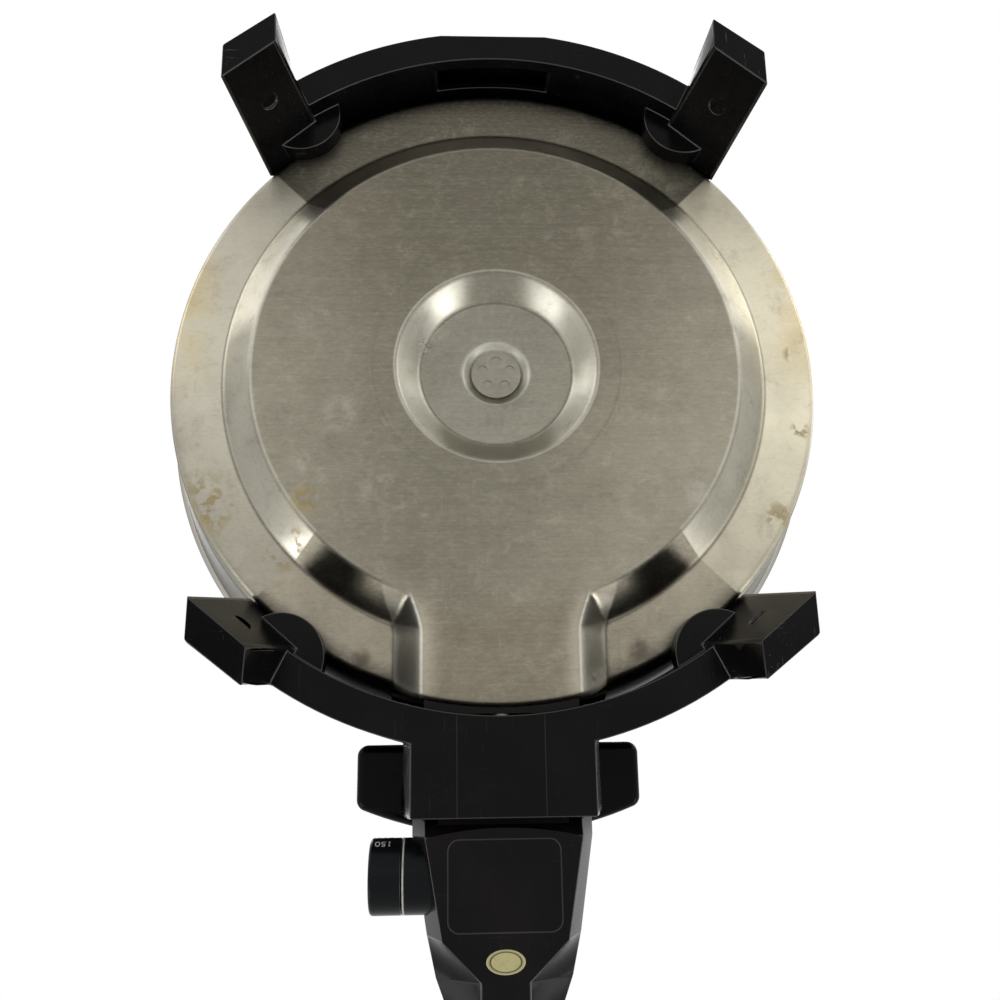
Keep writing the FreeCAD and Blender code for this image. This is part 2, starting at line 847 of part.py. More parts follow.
def handle_screw(place):
    """Screw through the cap and the mounting plate into a boss."""
    head_z = screw_top_z - screw_head_height
    screw = rod(screw_radius, place + Vector(0, 0, screw_top_z - screw_length + screw_end_gap),
                place + Vector(0, 0, head_z))
    screw = screw.fuse(rod(screw_head_radius, place + Vector(0, 0, head_z),
                           place + Vector(0, 0, screw_top_z)))
    for turn in (0.0, 90.0):
        slot = box(-screw_slot_half_length, screw_slot_half_length, -screw_slot / 2,
                   screw_slot / 2, screw_top_z - screw_slot, screw_top_z + cut_past)
        slot.rotate(Vector(0, 0, 0), Vector(0, 0, 1), turn)
        slot.translate(place)
        screw = screw.cut(slot)
    return screw


def handle_screws():
    """Two screws at each end of the pan."""
    rear = [handle_screw(place) for place in screw_places()]
    return Part.makeCompound(rear + [at_front(screw) for screw in rear])


def control_stations():
    """Sections of the control: reach, half-width and height of the face, width at the parting
    line, half-width and height of the top."""
    top = control_top_z
    stations = [
        (0.0, face_half_width, control_z + recess_rise, parting_half_width, top),
        (face_start, face_half_width, control_z, parting_half_width, top),
        (face_end, crease_half_width, control_z, crease_parting_half_width, top),
        (facet_end, neck_half_width, control_z + facet_rise,
         (crease_parting_half_width + taper_half_width) / 2, top - taper_top_drop / 2),
        (taper_end, neck_half_width, control_z + facet_rise, taper_half_width,
         top - taper_top_drop),
        (control_length, neck_half_width, control_z + neck_rise, tail_half_width,
         top - tail_top_drop),
    ]
    return stations


def lower_solid(inset):
    """Lower half of the control as a solid, drawn in by an inset."""
    sections = []
    for reach, face, face_z, wide, top_z in control_stations():
        y = control_y - inset - reach * (control_length - 2 * inset) / control_length
        sections.append([
            Vector(-face + inset, y, face_z + inset),
            Vector(face - inset, y, face_z + inset),
            Vector(wide - inset, y, parting_z),
            Vector(-wide + inset, y, parting_z),
        ])
    return loft(sections)


def upper_solid(inset):
    """Upper half of the control as a solid, drawn in by an inset."""
    sections = []
    for reach, face, face_z, wide, top_z in control_stations():
        y = control_y - inset - reach * (control_length - 2 * inset) / control_length
        sections.append([
            Vector(-wide + inset, y, parting_z),
            Vector(wide - inset, y, parting_z),
            Vector(wide - top_inset - inset, y, top_z - inset),
            Vector(-wide + top_inset + inset, y, top_z - inset),
        ])
    return loft(sections)


def bush_axis(reach):
    """Point on the axis of the cord inlet, forward of the control's end wall."""
    return Vector(0, control_y - control_length - reach, control_z + bush_rise)


def control_cuts(gap):
    """Spaces in the control's walls for the block, the dial's bezel and the inlet bush."""
    block = box(-block_half_width, block_half_width, control_y - block_tail - touch,
                control_y + cut_past, block_z, block_z + block_height)
    bezel = rod(dial_radius + gap, Vector(bezel_start, dial_y, parting_z),
                Vector(bezel_end + cut_far, dial_y, parting_z))
    bush = rod(bush_neck_radius + gap, bush_axis(-control_wall - cut_past), bush_axis(cut_past))
    return [block, bezel, bush]


def screw_post(x, bottom, top, radius):
    """Upright bar at a housing screw."""
    y = control_y - housing_screw_reach
    return rod(radius, Vector(x, y, bottom), Vector(x, y, top))


def control_lower_housing():
    """Lower half of the control's housing with two screw bosses."""
    housing = lower_solid(0.0)
    bosses = [screw_post(x, control_z + control_wall / 2, parting_z, housing_boss_radius)
              for x in (-housing_screw_x, housing_screw_x)]
    housing = housing.cut(lower_solid(control_wall))
    for boss in bosses:
        housing = housing.fuse(boss)
    for x in (-housing_screw_x, housing_screw_x):
        housing = housing.cut(screw_post(x, control_top_z - housing_screw_length,
                                         parting_z + cut_past,
                                         housing_screw_radius + fit))
    for space in control_cuts(fit):
        housing = housing.cut(space)
    return housing


def control_upper_housing():
    """Upper half of the control's housing, with lamp hole and screw bosses."""
    housing = upper_solid(0.0).cut(upper_solid(control_wall))
    for x in (-housing_screw_x, housing_screw_x):
        housing = housing.fuse(screw_post(x, parting_z, control_top_z - control_wall / 2,
                                          housing_boss_radius))
    head_z = control_top_z - screw_head_height
    for x in (-housing_screw_x, housing_screw_x):
        housing = housing.cut(screw_post(x, parting_z - cut_past, control_top_z + cut_past,
                                         housing_screw_radius + fit))
        housing = housing.cut(screw_post(x, head_z, control_top_z + cut_past,
                                         housing_screw_head_radius + fit))
    lamp = lamp_place()
    up = Vector(0, 0, 1)
    housing = housing.cut(rod(lens_radius + fit, lamp - up * cut_far, lamp + up * cut_past))
    for space in control_cuts(fit):
        housing = housing.cut(space)
    return housing


def housing_screws():
    """Two screws that hold the housing's halves together."""
    screws = []
    head_z = control_top_z - screw_head_height
    for x in (-housing_screw_x, housing_screw_x):
        shank = screw_post(x, control_top_z - housing_screw_length + screw_end_gap, head_z,
                           housing_screw_radius)
        head = screw_post(x, head_z, control_top_z, housing_screw_head_radius)
        slot = box(-housing_screw_head_radius, housing_screw_head_radius, -screw_slot / 2,
                   screw_slot / 2, control_top_z - screw_slot, control_top_z + cut_past)
        slot.translate(Vector(x, control_y - housing_screw_reach, 0))
        screws.append(shank.fuse(head).cut(slot))
    return Part.makeCompound(screws)


def contact_block():
    """Moulded block that carries the contacts and the probe in the control's nose."""
    nose_y = control_y + block_nose
    tail_y = control_y - block_tail
    block = box(-block_half_width, block_half_width, tail_y, nose_y,
                block_z, block_z + block_height)
    upright = [edge for edge in block.Edges
               if edge.BoundBox.ZLength > block_height - touch
               and edge.BoundBox.YMin > nose_y - touch]
    block = block.makeFillet(block_round, upright)
    for x in (-pin_half_spacing, pin_half_spacing):
        block = block.cut(rod(contact_radius + fit, Vector(x, nose_y + cut_past, terminal_z),
                              Vector(x, nose_y - contact_length, terminal_z)))
    return block.cut(rod(probe_radius + fit, Vector(0, nose_y + cut_past, terminal_z),
                         Vector(0, tail_y - cut_past, terminal_z)))


def socket_contact(x):
    """Sleeve contact in the block, open to the front for the pin."""
    nose_y = control_y + block_nose
    start = Vector(x, nose_y, terminal_z)
    end = Vector(x, nose_y - contact_length, terminal_z)
    bottom = Vector(x, nose_y - contact_length + contact_end_wall, terminal_z)
    return rod(contact_radius, start, end).cut(rod(contact_bore_radius, start, bottom))


def probe_rod():
    """Heat-sensing probe with a rounded tip."""
    nose_y = control_y + block_nose
    tip = Vector(0, nose_y + probe_reach, terminal_z)
    tail = Vector(0, control_y - probe_tail, terminal_z)
    probe = rod(probe_radius, tail, tip)
    edge = [item for item in probe.Edges
            if item.BoundBox.YMin > tip.y - touch and item.BoundBox.XLength > probe_radius]
    return probe.makeFillet(probe_tip_round, edge)


def floor_inside_z():
    """Inner floor of the lower housing."""
    return control_z + control_wall


def thermostat_frame():
    """Bent plate that holds the probe's tail and the spindle's inner end."""
    back_y = control_y - block_tail
    floor_z = floor_inside_z()
    base = box(-frame_half_width, frame_half_width, back_y - frame_length, back_y,
               floor_z, floor_z + frame_sheet)
    wall = box(-frame_half_width, frame_half_width, back_y - frame_sheet, back_y,
               floor_z, floor_z + frame_height)
    wall = wall.cut(rod(probe_radius + fit, Vector(0, back_y + cut_past, terminal_z),
                        Vector(0, back_y - frame_sheet - cut_past, terminal_z)))
    upright = box(frame_half_width - frame_sheet, frame_half_width, back_y - frame_length,
                  back_y, floor_z, floor_z + frame_height)
    upright = upright.cut(rod(spindle_radius + spindle_running_gap,
                              Vector(0, dial_y, parting_z),
                              Vector(frame_half_width + cut_far, dial_y, parting_z)))
    return base.fuse(wall).fuse(upright)


def stack_back_y():
    """Rear face of the insulating stack on the thermostat frame."""
    return control_y - block_tail - frame_sheet - stack_gap


def blade(height):
    """Thin spring strip clamped in the stack."""
    z = floor_inside_z() + frame_sheet + height
    y = stack_back_y()
    return box(-blade_half_width, blade_half_width, y - blade_length, y, z, z + blade_sheet)


def contact_stack():
    """Ceramic block that clamps the two spring strips to the frame."""
    y = stack_back_y() - stack_inset
    bottom = floor_inside_z() + frame_sheet
    stack = box(-stack_half_width, stack_half_width, y - stack_length, y,
                bottom, bottom + stack_height)
    for height in blade_heights:
        stack = stack.cut(blade(height))
    return stack.cut(rod(probe_radius + fit, Vector(0, y + cut_past, terminal_z),
                         Vector(0, y - stack_length - cut_past, terminal_z)))


def bimetal_blade():
    """Upper strip, which bends as the probe warms up."""
    return blade(blade_heights[1])


def contact_blade():
    """Lower strip with the switch contact on its free end."""
    strip = blade(blade_heights[0])
    place = Vector(0, stack_back_y() - blade_length + switch_contact_inset,
                   floor_inside_z() + frame_sheet + blade_heights[0] + blade_sheet)
    gap = blade_heights[1] - blade_heights[0] - blade_sheet
    return strip.fuse(rod(switch_contact_radius, place, place + Vector(0, 0, gap)))


def dial_bezel():
    """Fixed round boss in the housing's side that the dial sits against."""
    start = Vector(bezel_start, dial_y, parting_z)
    end = Vector(bezel_end, dial_y, parting_z)
    bezel = rod(dial_radius, start, end)
    bezel = bezel.cut(rod(bezel_bore_radius, start, end - Vector(dial_wall, 0, 0)))
    bezel = bezel.fuse(rod(dial_hub_radius, start, end))
    return bezel.cut(rod(spindle_radius + spindle_running_gap, start - Vector(cut_past, 0, 0),
                         end + Vector(cut_past, 0, 0)))


def indicator_ring():
    """Pale ring on the bezel's face, behind the dial."""
    start = Vector(bezel_end, dial_y, parting_z)
    end = Vector(bezel_end + indicator_ring_sheet, dial_y, parting_z)
    return tube(dial_radius, dial_hub_radius, start, end)


def dial_knob():
    """Smooth round dial with a hub that grips the spindle."""
    start = Vector(dial_start, dial_y, parting_z)
    end = Vector(dial_start + dial_length, dial_y, parting_z)
    knob = rod(dial_radius, start, end)
    rims = [edge for edge in knob.Edges
            if edge.BoundBox.XMin > end.x - touch and edge.BoundBox.YLength > dial_radius]
    knob = knob.makeFillet(dial_end_round, rims)
    knob = knob.cut(rod(dial_radius - dial_wall, start, end - Vector(dial_wall, 0, 0)))
    knob = knob.fuse(rod(dial_hub_radius, start, end - Vector(dial_wall / 2, 0, 0)))
    return knob.cut(rod(spindle_radius + fit, start, end - Vector(dial_wall, 0, 0)))


def adjusting_spindle():
    """Spindle from the thermostat frame through the bezel into the dial."""
    start = Vector(spindle_inner_x, dial_y, parting_z)
    end = Vector(dial_start + dial_length - dial_wall, dial_y, parting_z)
    spindle = rod(spindle_radius, start, end)
    collar = Vector(frame_half_width + spindle_running_gap, dial_y, parting_z)
    return spindle.fuse(rod(collar_radius, collar, collar + Vector(collar_width, 0, 0)))


def lamp_place():
    """Middle of the lamp hole on the control's top face."""
    return Vector(lamp_x, control_y - lamp_reach, control_top_z)


def pilot_lens():
    """Amber lens in the top of the control."""
    place = lamp_place()
    up = Vector(0, 0, 1)
    lens = rod(lens_radius, place - up * (control_wall + lens_foot), place)
    lens = lens.fuse(rod(lens_flange_radius, place, place + up * lens_flange_height))
    dome = rod(lens_radius, place, place + up * lens_height)
    rims = [edge for edge in dome.Edges if edge.BoundBox.ZMin > place.z + lens_height - touch]
    lens = lens.fuse(dome.makeFillet(lens_round, rims))
    return lens.cut(rod(lamp_radius + fit, place - up * (control_wall + lens_foot + cut_past),
                        place + up * lens_bore_depth))


def pilot_lamp():
    """Small glass lamp under the lens."""
    place = lamp_place()
    up = Vector(0, 0, 1)
    top = place + up * lens_bore_depth
    lamp = rod(lamp_radius, top - up * lamp_length, top)
    rims = [edge for edge in lamp.Edges if edge.BoundBox.ZMin > top.z - touch]
    return lamp.makeFillet(lamp_round, rims)


def cord_inlet_bush():
    """Rubber bush in the end of the control, with the bore for the cord."""
    seat = bush_axis(-control_wall - bush_flange_height)
    face = bush_axis(0)
    bush = rod(bush_neck_radius, seat, face)
    cone = Part.makeCone(bush_radius, bush_end_radius, bush_length, face, Vector(0, -1, 0))
    flange = rod(bush_flange_radius, seat, bush_axis(-control_wall))
    bush = bush.fuse(cone).fuse(flange)
    return bush.cut(rod(bush_bore_radius, seat + Vector(0, cut_past, 0),
                        bush_axis(bush_length + cut_past)))


def oval_sticker():
    """Thin oval sticker on the sloping facet of the control's face."""
    run = facet_end - face_end
    slope = math.atan2(facet_rise, run)
    middle_reach = (face_end + facet_end) / 2
    oval = Part.Ellipse(Vector(0, 0, 0), sticker_half_length, sticker_half_width)
    sticker = Part.Face(Part.Wire([oval.toShape()])).extrude(Vector(0, 0, -sticker_sheet))
    sticker.rotate(Vector(0, 0, 0), Vector(1, 0, 0), -math.degrees(slope))
    sticker.translate(Vector(0, control_y - middle_reach, control_z + facet_rise / 2))
    return sticker


def dome_z(radius, drop):
    """Height of the lid's outer dome at a radius, less a drop along the dome's radius."""
    sphere = dome_sphere - drop
    return lid_top_z - dome_sphere + math.sqrt(sphere ** 2 - radius ** 2)


def lid_shell():
    """Domed lid with a flat flange on the rim and a skirt inside it."""
    inside = lid_dome_radius - lid_sheet
    outer = [
        Vector(0, 0, lid_top_z),
        Vector(lid_dome_radius / 2, 0, dome_z(lid_dome_radius / 2, 0)),
        Vector(lid_dome_radius, 0, dome_z(lid_dome_radius, 0)),
        Vector(lid_foot_radius, 0, lid_wall_z),
        Vector(rim_radius, 0, lid_wall_z),
        Vector(rim_radius, 0, lid_z),
        Vector(lid_foot_radius - lid_sheet, 0, lid_z),
        Vector(inside, 0, dome_z(inside, lid_sheet)),
        Vector(inside / 2, 0, dome_z(inside / 2, lid_sheet)),
        Vector(0, 0, lid_top_z - lid_sheet),
    ]
    edges = [Part.Arc(outer[0], outer[1], outer[2]).toShape()]
    for index in range(2, 7):
        edges.append(Part.LineSegment(outer[index], outer[index + 1]).toShape())
    edges.append(Part.Arc(outer[7], outer[8], outer[9]).toShape())
    edges.append(Part.LineSegment(outer[9], outer[0]).toShape())
    lid = Part.Face(Part.Wire(edges)).revolve(Vector(0, 0, 0), Vector(0, 0, 1), 360)
    skirt_radius = wall_top_radius - pan_sheet - skirt_gap
    skirt = spun([
        (skirt_radius - lid_sheet, lid_z - skirt_height, 0),
        (skirt_radius, lid_z - skirt_height, 0),
        (skirt_radius, lid_z, 0),
        (skirt_radius - lid_sheet, lid_z, 0),
    ])
    lid = lid.fuse(skirt)
    up = Vector(0, 0, 1)
    lid = lid.cut(rod(lid_screw_radius + fit, up * (lid_top_z - cut_far), up * (lid_top_z + cut_past)))
    return lid.cut(on_vent(rod(vent_barrel_radius + fit, up * -cut_far, up * cut_far)))


def on_vent(shape):
    """A piece drawn upright at the origin, moved to the vent's place on the dome."""
    tilt = math.degrees(math.asin(vent_radius / dome_sphere))
    shape.rotate(Vector(0, 0, 0), Vector(0, 1, 0), tilt)
    shape.translate(Vector(vent_radius, 0, dome_z(vent_radius, 0)))
    return shape


def steam_vent():
    """Eyelet in the lid's dome that lets steam out."""
    up = Vector(0, 0, 1)
    eyelet = rod(vent_flange_radius, up * vent_gap, up * (vent_gap + vent_flange_height))
    eyelet = eyelet.fuse(rod(vent_barrel_radius, up * -vent_barrel_length, up * vent_overlap))
    return on_vent(eyelet.cut(rod(vent_bore_radius, up * -cut_far, up * cut_far)))


def lid_knob_washer():
    """Steel washer between the dome and the knob."""
    bottom = Vector(0, 0, lid_top_z)
    return tube(lid_washer_radius, lid_screw_radius + fit, bottom,
                bottom + Vector(0, 0, lid_washer_height))


def lid_knob():
    """Moulded knob with a waist and a rounded head."""
    base = lid_top_z + lid_washer_height
    top = base + lid_knob_height
    waist = base + lid_knob_waist_height
    knob = spun([
        (0, base, 0),
        (lid_knob_base_radius, base, lid_knob_base_round),
        (lid_knob_neck_radius, waist, lid_knob_waist_round),
        (lid_knob_radius, waist + lid_knob_under_rise, lid_knob_under_round),
        (lid_knob_radius, top - lid_knob_crown_drop, lid_knob_crown_round),
        (0, top, 0),
    ])
    return knob.cut(rod(lid_screw_radius + fit, Vector(0, 0, base - cut_past),
                        Vector(0, 0, base + lid_screw_length - lid_washer_height)))


def lid_knob_screw():
    """Screw from inside the lid up into the knob."""
    under = lid_top_z - lid_sheet
    head = Vector(0, 0, under - lid_screw_head_height)
    screw = rod(lid_screw_head_radius, head, Vector(0, 0, under - lid_screw_gap))
    shank = rod(lid_screw_radius, head,
                Vector(0, 0, lid_top_z + lid_screw_length - lid_screw_end_gap))
    slot = box(-lid_screw_head_radius, lid_screw_head_radius, -screw_slot / 2, screw_slot / 2,
               head.z - cut_past, head.z + screw_slot)
    return screw.fuse(shank).cut(slot)


def axis_shift():
    """Y of the pan's axis, with the origin under the middle of the whole skillet."""
    rear = shell_radius + handle_outer_reach
    front = control_y - control_length - bush_length
    return -(rear + front) / 2


def save(name, shape):
    """Write one piece at its place in the part's frame."""
    placed = shape.copy()
    placed.translate(Vector(0, axis_shift(), 0))
    placed.exportStep("parts/%s.step" % name)
    print("%-24s solids %d valid %s volume %.2f" % (
        name, len(placed.Solids), placed.isValid(), placed.Volume / 1000))


def main():
    """Make every piece."""
    os.makedirs("parts", exist_ok=True)
    pieces = {
        "cooking_pan": cooking_pan(),
        "bottom_shell": bottom_shell(),
        "fill_plug": fill_plug(),
        "heating_element": heating_element(),
        "element_clips": element_clips(),
        "terminal_plate": terminal_plate(),
        "terminal_pins": pin_pair(terminal_pin),
        "pin_insulators": pin_pair(pin_insulator),
        "pin_seals": pin_pair(pin_seal),
        "probe_well": probe_well(),
        "front_bracket": front_bracket(),
        "rear_bracket": rear_bracket(),
        "front_handle": at_front(rear_handle()),
        "rear_handle": rear_handle(),
        "front_mounting_plate": at_front(rear_mounting_plate()),
        "rear_mounting_plate": rear_mounting_plate(),
        "handle_screws": handle_screws(),
        "control_lower_housing": control_lower_housing(),
        "control_upper_housing": control_upper_housing(),
        "housing_screws": housing_screws(),
        "contact_block": contact_block(),
        "socket_contacts": pin_pair(socket_contact),
        "probe_rod": probe_rod(),
        "thermostat_frame": thermostat_frame(),
        "contact_stack": contact_stack(),
        "bimetal_blade": bimetal_blade(),
        "contact_blade": contact_blade(),
        "dial_bezel": dial_bezel(),
        "indicator_ring": indicator_ring(),
        "pilot_lens": pilot_lens(),
        "pilot_lamp": pilot_lamp(),
        "cord_inlet_bush": cord_inlet_bush(),
        "oval_sticker": oval_sticker(),
        "dial_knob": dial_knob(),
        "adjusting_spindle": adjusting_spindle(),
        "lid_shell": lid_shell(),
        "steam_vent": steam_vent(),
        "lid_knob_washer": lid_knob_washer(),
        "lid_knob": lid_knob(),
        "lid_knob_screw": lid_knob_screw(),
    }
    for name, shape in pieces.items():
        save(name, shape)


main()
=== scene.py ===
# %% [markdown]
# # An electric skillet, seen from below
#
# The object is a round stainless steel skillet that stands on two black moulded brackets, with a
# control that plugs into the front one. The photograph looks up at its pressed steel base. The
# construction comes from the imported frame, which holds every piece at its real size and place. This
# script gives the pieces their looks: it rebuilds the pressed and moulded shapes as smooth surfaces,
# mixes a material for each finish, and sets the camera and the light.

# %% Load the frame
import math

import bmesh
import bpy
import numpy as np
from mathutils import Matrix, Vector


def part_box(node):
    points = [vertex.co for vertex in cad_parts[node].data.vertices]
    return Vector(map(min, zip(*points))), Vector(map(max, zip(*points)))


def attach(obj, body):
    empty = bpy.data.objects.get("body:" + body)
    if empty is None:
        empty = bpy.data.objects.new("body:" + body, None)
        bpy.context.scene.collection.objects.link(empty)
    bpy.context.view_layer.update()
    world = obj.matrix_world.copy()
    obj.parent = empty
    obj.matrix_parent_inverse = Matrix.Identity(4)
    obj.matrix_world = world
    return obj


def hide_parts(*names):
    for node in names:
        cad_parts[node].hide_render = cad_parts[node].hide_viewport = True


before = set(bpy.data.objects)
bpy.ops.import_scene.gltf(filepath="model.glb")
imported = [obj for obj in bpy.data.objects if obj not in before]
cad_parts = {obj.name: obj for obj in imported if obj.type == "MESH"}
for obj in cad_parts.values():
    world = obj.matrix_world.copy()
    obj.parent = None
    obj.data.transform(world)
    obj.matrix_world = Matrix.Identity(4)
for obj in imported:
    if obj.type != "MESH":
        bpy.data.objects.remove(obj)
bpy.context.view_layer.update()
MM = 0.001

# %% [markdown]
# ## Where things are
#
# The frame's origin lies under the middle of the whole object, so the pan's upright axis is a little
# way behind it. Every round piece turns about that axis, so it is read once from the pan's own box.
# Heights are read from the boxes of the nodes that set them, and the script works in metres.

# %% Measure the frame
pan_low, pan_high = (np.array(corner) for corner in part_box("cooking_pan"))
shell_low, shell_high = (np.array(corner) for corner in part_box("bottom_shell"))
lid_low, lid_high = (np.array(corner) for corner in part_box("lid_shell"))
AXIS_Y = float(pan_low[1] + pan_high[1]) / 2
RIM_RADIUS = float(pan_high[0] - pan_low[0]) / 2
RIM_Z = float(pan_high[2])
DISC_Z = float(shell_low[2])
SHELL_TOP_Z = float(shell_high[2])
LID_Z = float(lid_low[2])
LID_TOP_Z = float(lid_high[2])
print("axis y %.4f, rim radius %.4f, rim height %.4f" % (AXIS_Y, RIM_RADIUS, RIM_Z))

# %% [markdown]
# ## Camera
#
# The camera stands under the skillet and looks up at its base, tilted about fifteen degrees. Its
# place and turn were fitted to the outlines in the photograph. A camera matrix has the camera's
# right, up and backward directions as columns, so the three fitted rows go in with two signs turned.

# %% Set the camera
CAMERA_FROM_AXIS = np.array([17.2, -174.9, -375.5]) * MM
CAMERA_RIGHT = np.array([-0.99918, -0.01466, -0.03778])
CAMERA_DOWN = np.array([0.00459, -0.96724, 0.25381])
CAMERA_AHEAD = np.array([-0.04026, 0.25343, 0.96652])
LENS_MM = 36.0
SENSOR_MM = 36.0

camera_place = CAMERA_FROM_AXIS + np.array([0.0, AXIS_Y, 0.0])
camera_matrix = np.eye(4)
camera_matrix[:3, 0] = CAMERA_RIGHT
camera_matrix[:3, 1] = -CAMERA_DOWN
camera_matrix[:3, 2] = -CAMERA_AHEAD
camera_matrix[:3, 3] = camera_place
camera_data = bpy.data.cameras.new("camera")
camera_data.lens = LENS_MM
camera_data.sensor_width = SENSOR_MM
camera_data.clip_start = 0.01
camera = bpy.data.objects.new("camera", camera_data)
camera.matrix_world = Matrix(camera_matrix.tolist())
bpy.context.collection.objects.link(camera)
bpy.context.scene.camera = camera
bpy.context.scene.view_settings.view_transform = "Standard"
print("camera at", camera_place.round(4))

# %% [markdown]
# ## Shader maths as plain expressions
#
# A material is a graph of nodes, and most of them only add, multiply or compare. This small class
# wraps one output socket, and its operators add the Math nodes, so a mask reads like arithmetic. Any
# other node comes from `Finish.node`, which sets the node's own settings first and its sockets after.


# %% Socket and finish classes
class Value:
    """One output socket, with operators that add Math nodes."""

    def __init__(self, finish, socket):
        self.finish = finish
        self.socket = socket

    def math(self, operation, first, second=0.0):
        return self.finish.node("ShaderNodeMath", {"operation": operation}, {0: first, 1: second})

    def __add__(self, other):
        return self.math("ADD", self, other)

    def __radd__(self, other):
        return self.math("ADD", other, self)

    def __sub__(self, other):
        return self.math("SUBTRACT", self, other)

    def __rsub__(self, other):
        return self.math("SUBTRACT", other, self)

    def __mul__(self, other):
        return self.math("MULTIPLY", self, other)

    def __truediv__(self, other):
        return self.math("DIVIDE", self, other)

    def __pow__(self, other):
        return self.math("POWER", self, other)

    def abs(self):
        return self.math("ABSOLUTE", self)

    def least(self, other):
        return self.math("MINIMUM", self, other)

    def most(self, other):
        return self.math("MAXIMUM", self, other)

    def rise(self, low, high):
        """0 below low, 1 above high, and a smooth step between; low above high turns it round."""
        return self.finish.node("ShaderNodeMapRange", {"interpolation_type": "SMOOTHSTEP"},
                                {"Value": self, "From Min": low, "From Max": high})

    def bump_at(self, centre, width):
        """1 at a value, falling smoothly to 0 at a distance of width from it."""
        return (self - centre).abs().rise(width, 0.0)


class Finish:
    """A material with its Principled shader, and one way to add nodes."""

    def __init__(self, name):
        self.material = bpy.data.materials.new(name)
        self.material.use_nodes = True
        self.tree = self.material.node_tree
        self.shader = next(n for n in self.tree.nodes if n.type == "BSDF_PRINCIPLED")
        self.place = self.node("ShaderNodeTexCoord", out="Object")

    def node(self, kind, settings=None, sockets=None, out=0):
        """Adds a node: its own settings first, then its sockets; returns the output asked for."""
        made = self.tree.nodes.new(kind)
        for key, value in (settings or {}).items():
            setattr(made, key, value)
        for key, value in (sockets or {}).items():
            if isinstance(value, Value):
                self.tree.links.new(value.socket, made.inputs[key])
            else:
                made.inputs[key].default_value = value
        return Value(self, made.outputs[out])

    def set(self, **sockets):
        """Constants and links on the Principled shader, with spaces written as underscores."""
        for key, value in sockets.items():
            socket = self.shader.inputs[key.replace("_", " ")]
            if isinstance(value, Value):
                self.tree.links.new(value.socket, socket)
            else:
                socket.default_value = value
        return self

    def axis(self, letter):
        """One object coordinate in metres."""
        return self.node("ShaderNodeSeparateXYZ", None, {0: self.place}, letter.upper())

    def stretched(self, scale):
        """Object coordinates, scaled along each axis."""
        return self.node("ShaderNodeMapping", None, {"Vector": self.place, "Scale": scale})

    def noise(self, scale, detail=3.0, roughness=0.55, vector=None, distortion=0.0):
        return self.node("ShaderNodeTexNoise", None,
                         {"Vector": vector or self.place, "Scale": scale, "Detail": detail,
                          "Roughness": roughness, "Distortion": distortion})

    def cells(self, scale):
        """Distance to the nearest of many scattered points, for dust and pits."""
        return self.node("ShaderNodeTexVoronoi", None, {"Vector": self.place, "Scale": scale})

    def blend(self, factor, first, second):
        """Mix of two colours, each a tuple or a value."""
        first = first if isinstance(first, Value) else tuple(first) + (1.0,)
        second = second if isinstance(second, Value) else tuple(second) + (1.0,)
        return self.node("ShaderNodeMix", {"data_type": "RGBA"},
                         {"Factor": factor, 6: first, 7: second}, 2)

    def bump(self, height, distance, strength=1.0, under=None):
        sockets = {"Height": height, "Distance": distance, "Strength": strength}
        if under is not None:
            sockets["Normal"] = under
        return self.node("ShaderNodeBump", None, sockets)


# %% [markdown]
# ## Sizes of the pressing
#
# The base is pressed from one sheet. Its round part is a profile of radius and height over the disc,
# and the tongue is a flat strip that widens towards its root. The finish and the mesh both follow
# these sizes, so they come before both.

# %% Profile and tongue
BASE_PROFILE = np.array([
    (0.0, 14.9), (12.2, 14.9), (15.6, 11.5), (35.3, 11.5), (46.1, 0.0), (111.3, 0.0), (126.0, 12.8),
    (160.0, 12.8)]) * MM
RING_RISE = float(BASE_PROFILE[-1, 1])
SHELL_RADIUS = 150.0 * MM
EDGE_ROUND = 3.0 * MM
SHEET = 1.2 * MM
BEND_WIDTH = 1.9 * MM
GROOVE_RADIUS = 57.0 * MM
GROOVE_DEPTH = 0.12 * MM
GROOVE_WIDTH = 0.6 * MM
TONGUE_HALF = 34.0 * MM
TONGUE_ROOT_HALF = 39.0 * MM
TONGUE_RUN = 11.8 * MM
TONGUE_EASE_Y = (-101.0 * MM, -122.0 * MM)
TONGUE_BACK_Y = -95.0 * MM
TONGUE_OVERHANG = 2.8 * MM
BEVEL_MIDDLE, BEVEL_REACH = 0.1186, 0.0085
RECESS_MIDDLE, RECESS_REACH = 0.0407, 0.0068
print("ring %.1f mm over the disc" % (RING_RISE / MM))

# %% [markdown]
# ## Steel of the base
#
# The base is stainless sheet, brushed along X before it was pressed, and it has been used for years.
# The brushing is a noise stretched along X: it varies the tone a little, the roughness more, and
# tilts the surface through a bump. Heat has left the steel olive grey, and painted shade makes it
# darker towards the rear. The pressed slopes were burnished by the tool, so they are smoother; their
# brighter tone is a painted highlight. Painted shade darkens the two sectors beside the brackets.
# Distances from the axis come from the object coordinates.


# %% Masks for places on the base
def from_axis(finish):
    """x, y and distance from the pan's axis, in metres."""
    x = finish.axis("x")
    y = finish.axis("y") - AXIS_Y
    return x, y, (x * x + y * y) ** 0.5


def spot(finish, x, y, width):
    """1 at a point of the base given in millimetres from the axis, fading over a width."""
    dx = finish.axis("x") - x * MM
    dy = finish.axis("y") - (AXIS_Y + y * MM)
    return ((dx * dx + dy * dy) ** 0.5).rise(width * MM, width * 0.25 * MM)


def spots(finish, places):
    """Several spots in one mask, each given as x, y and width."""
    total = spot(finish, *places[0])
    for place in places[1:]:
        total = total.most(spot(finish, *place))
    return total


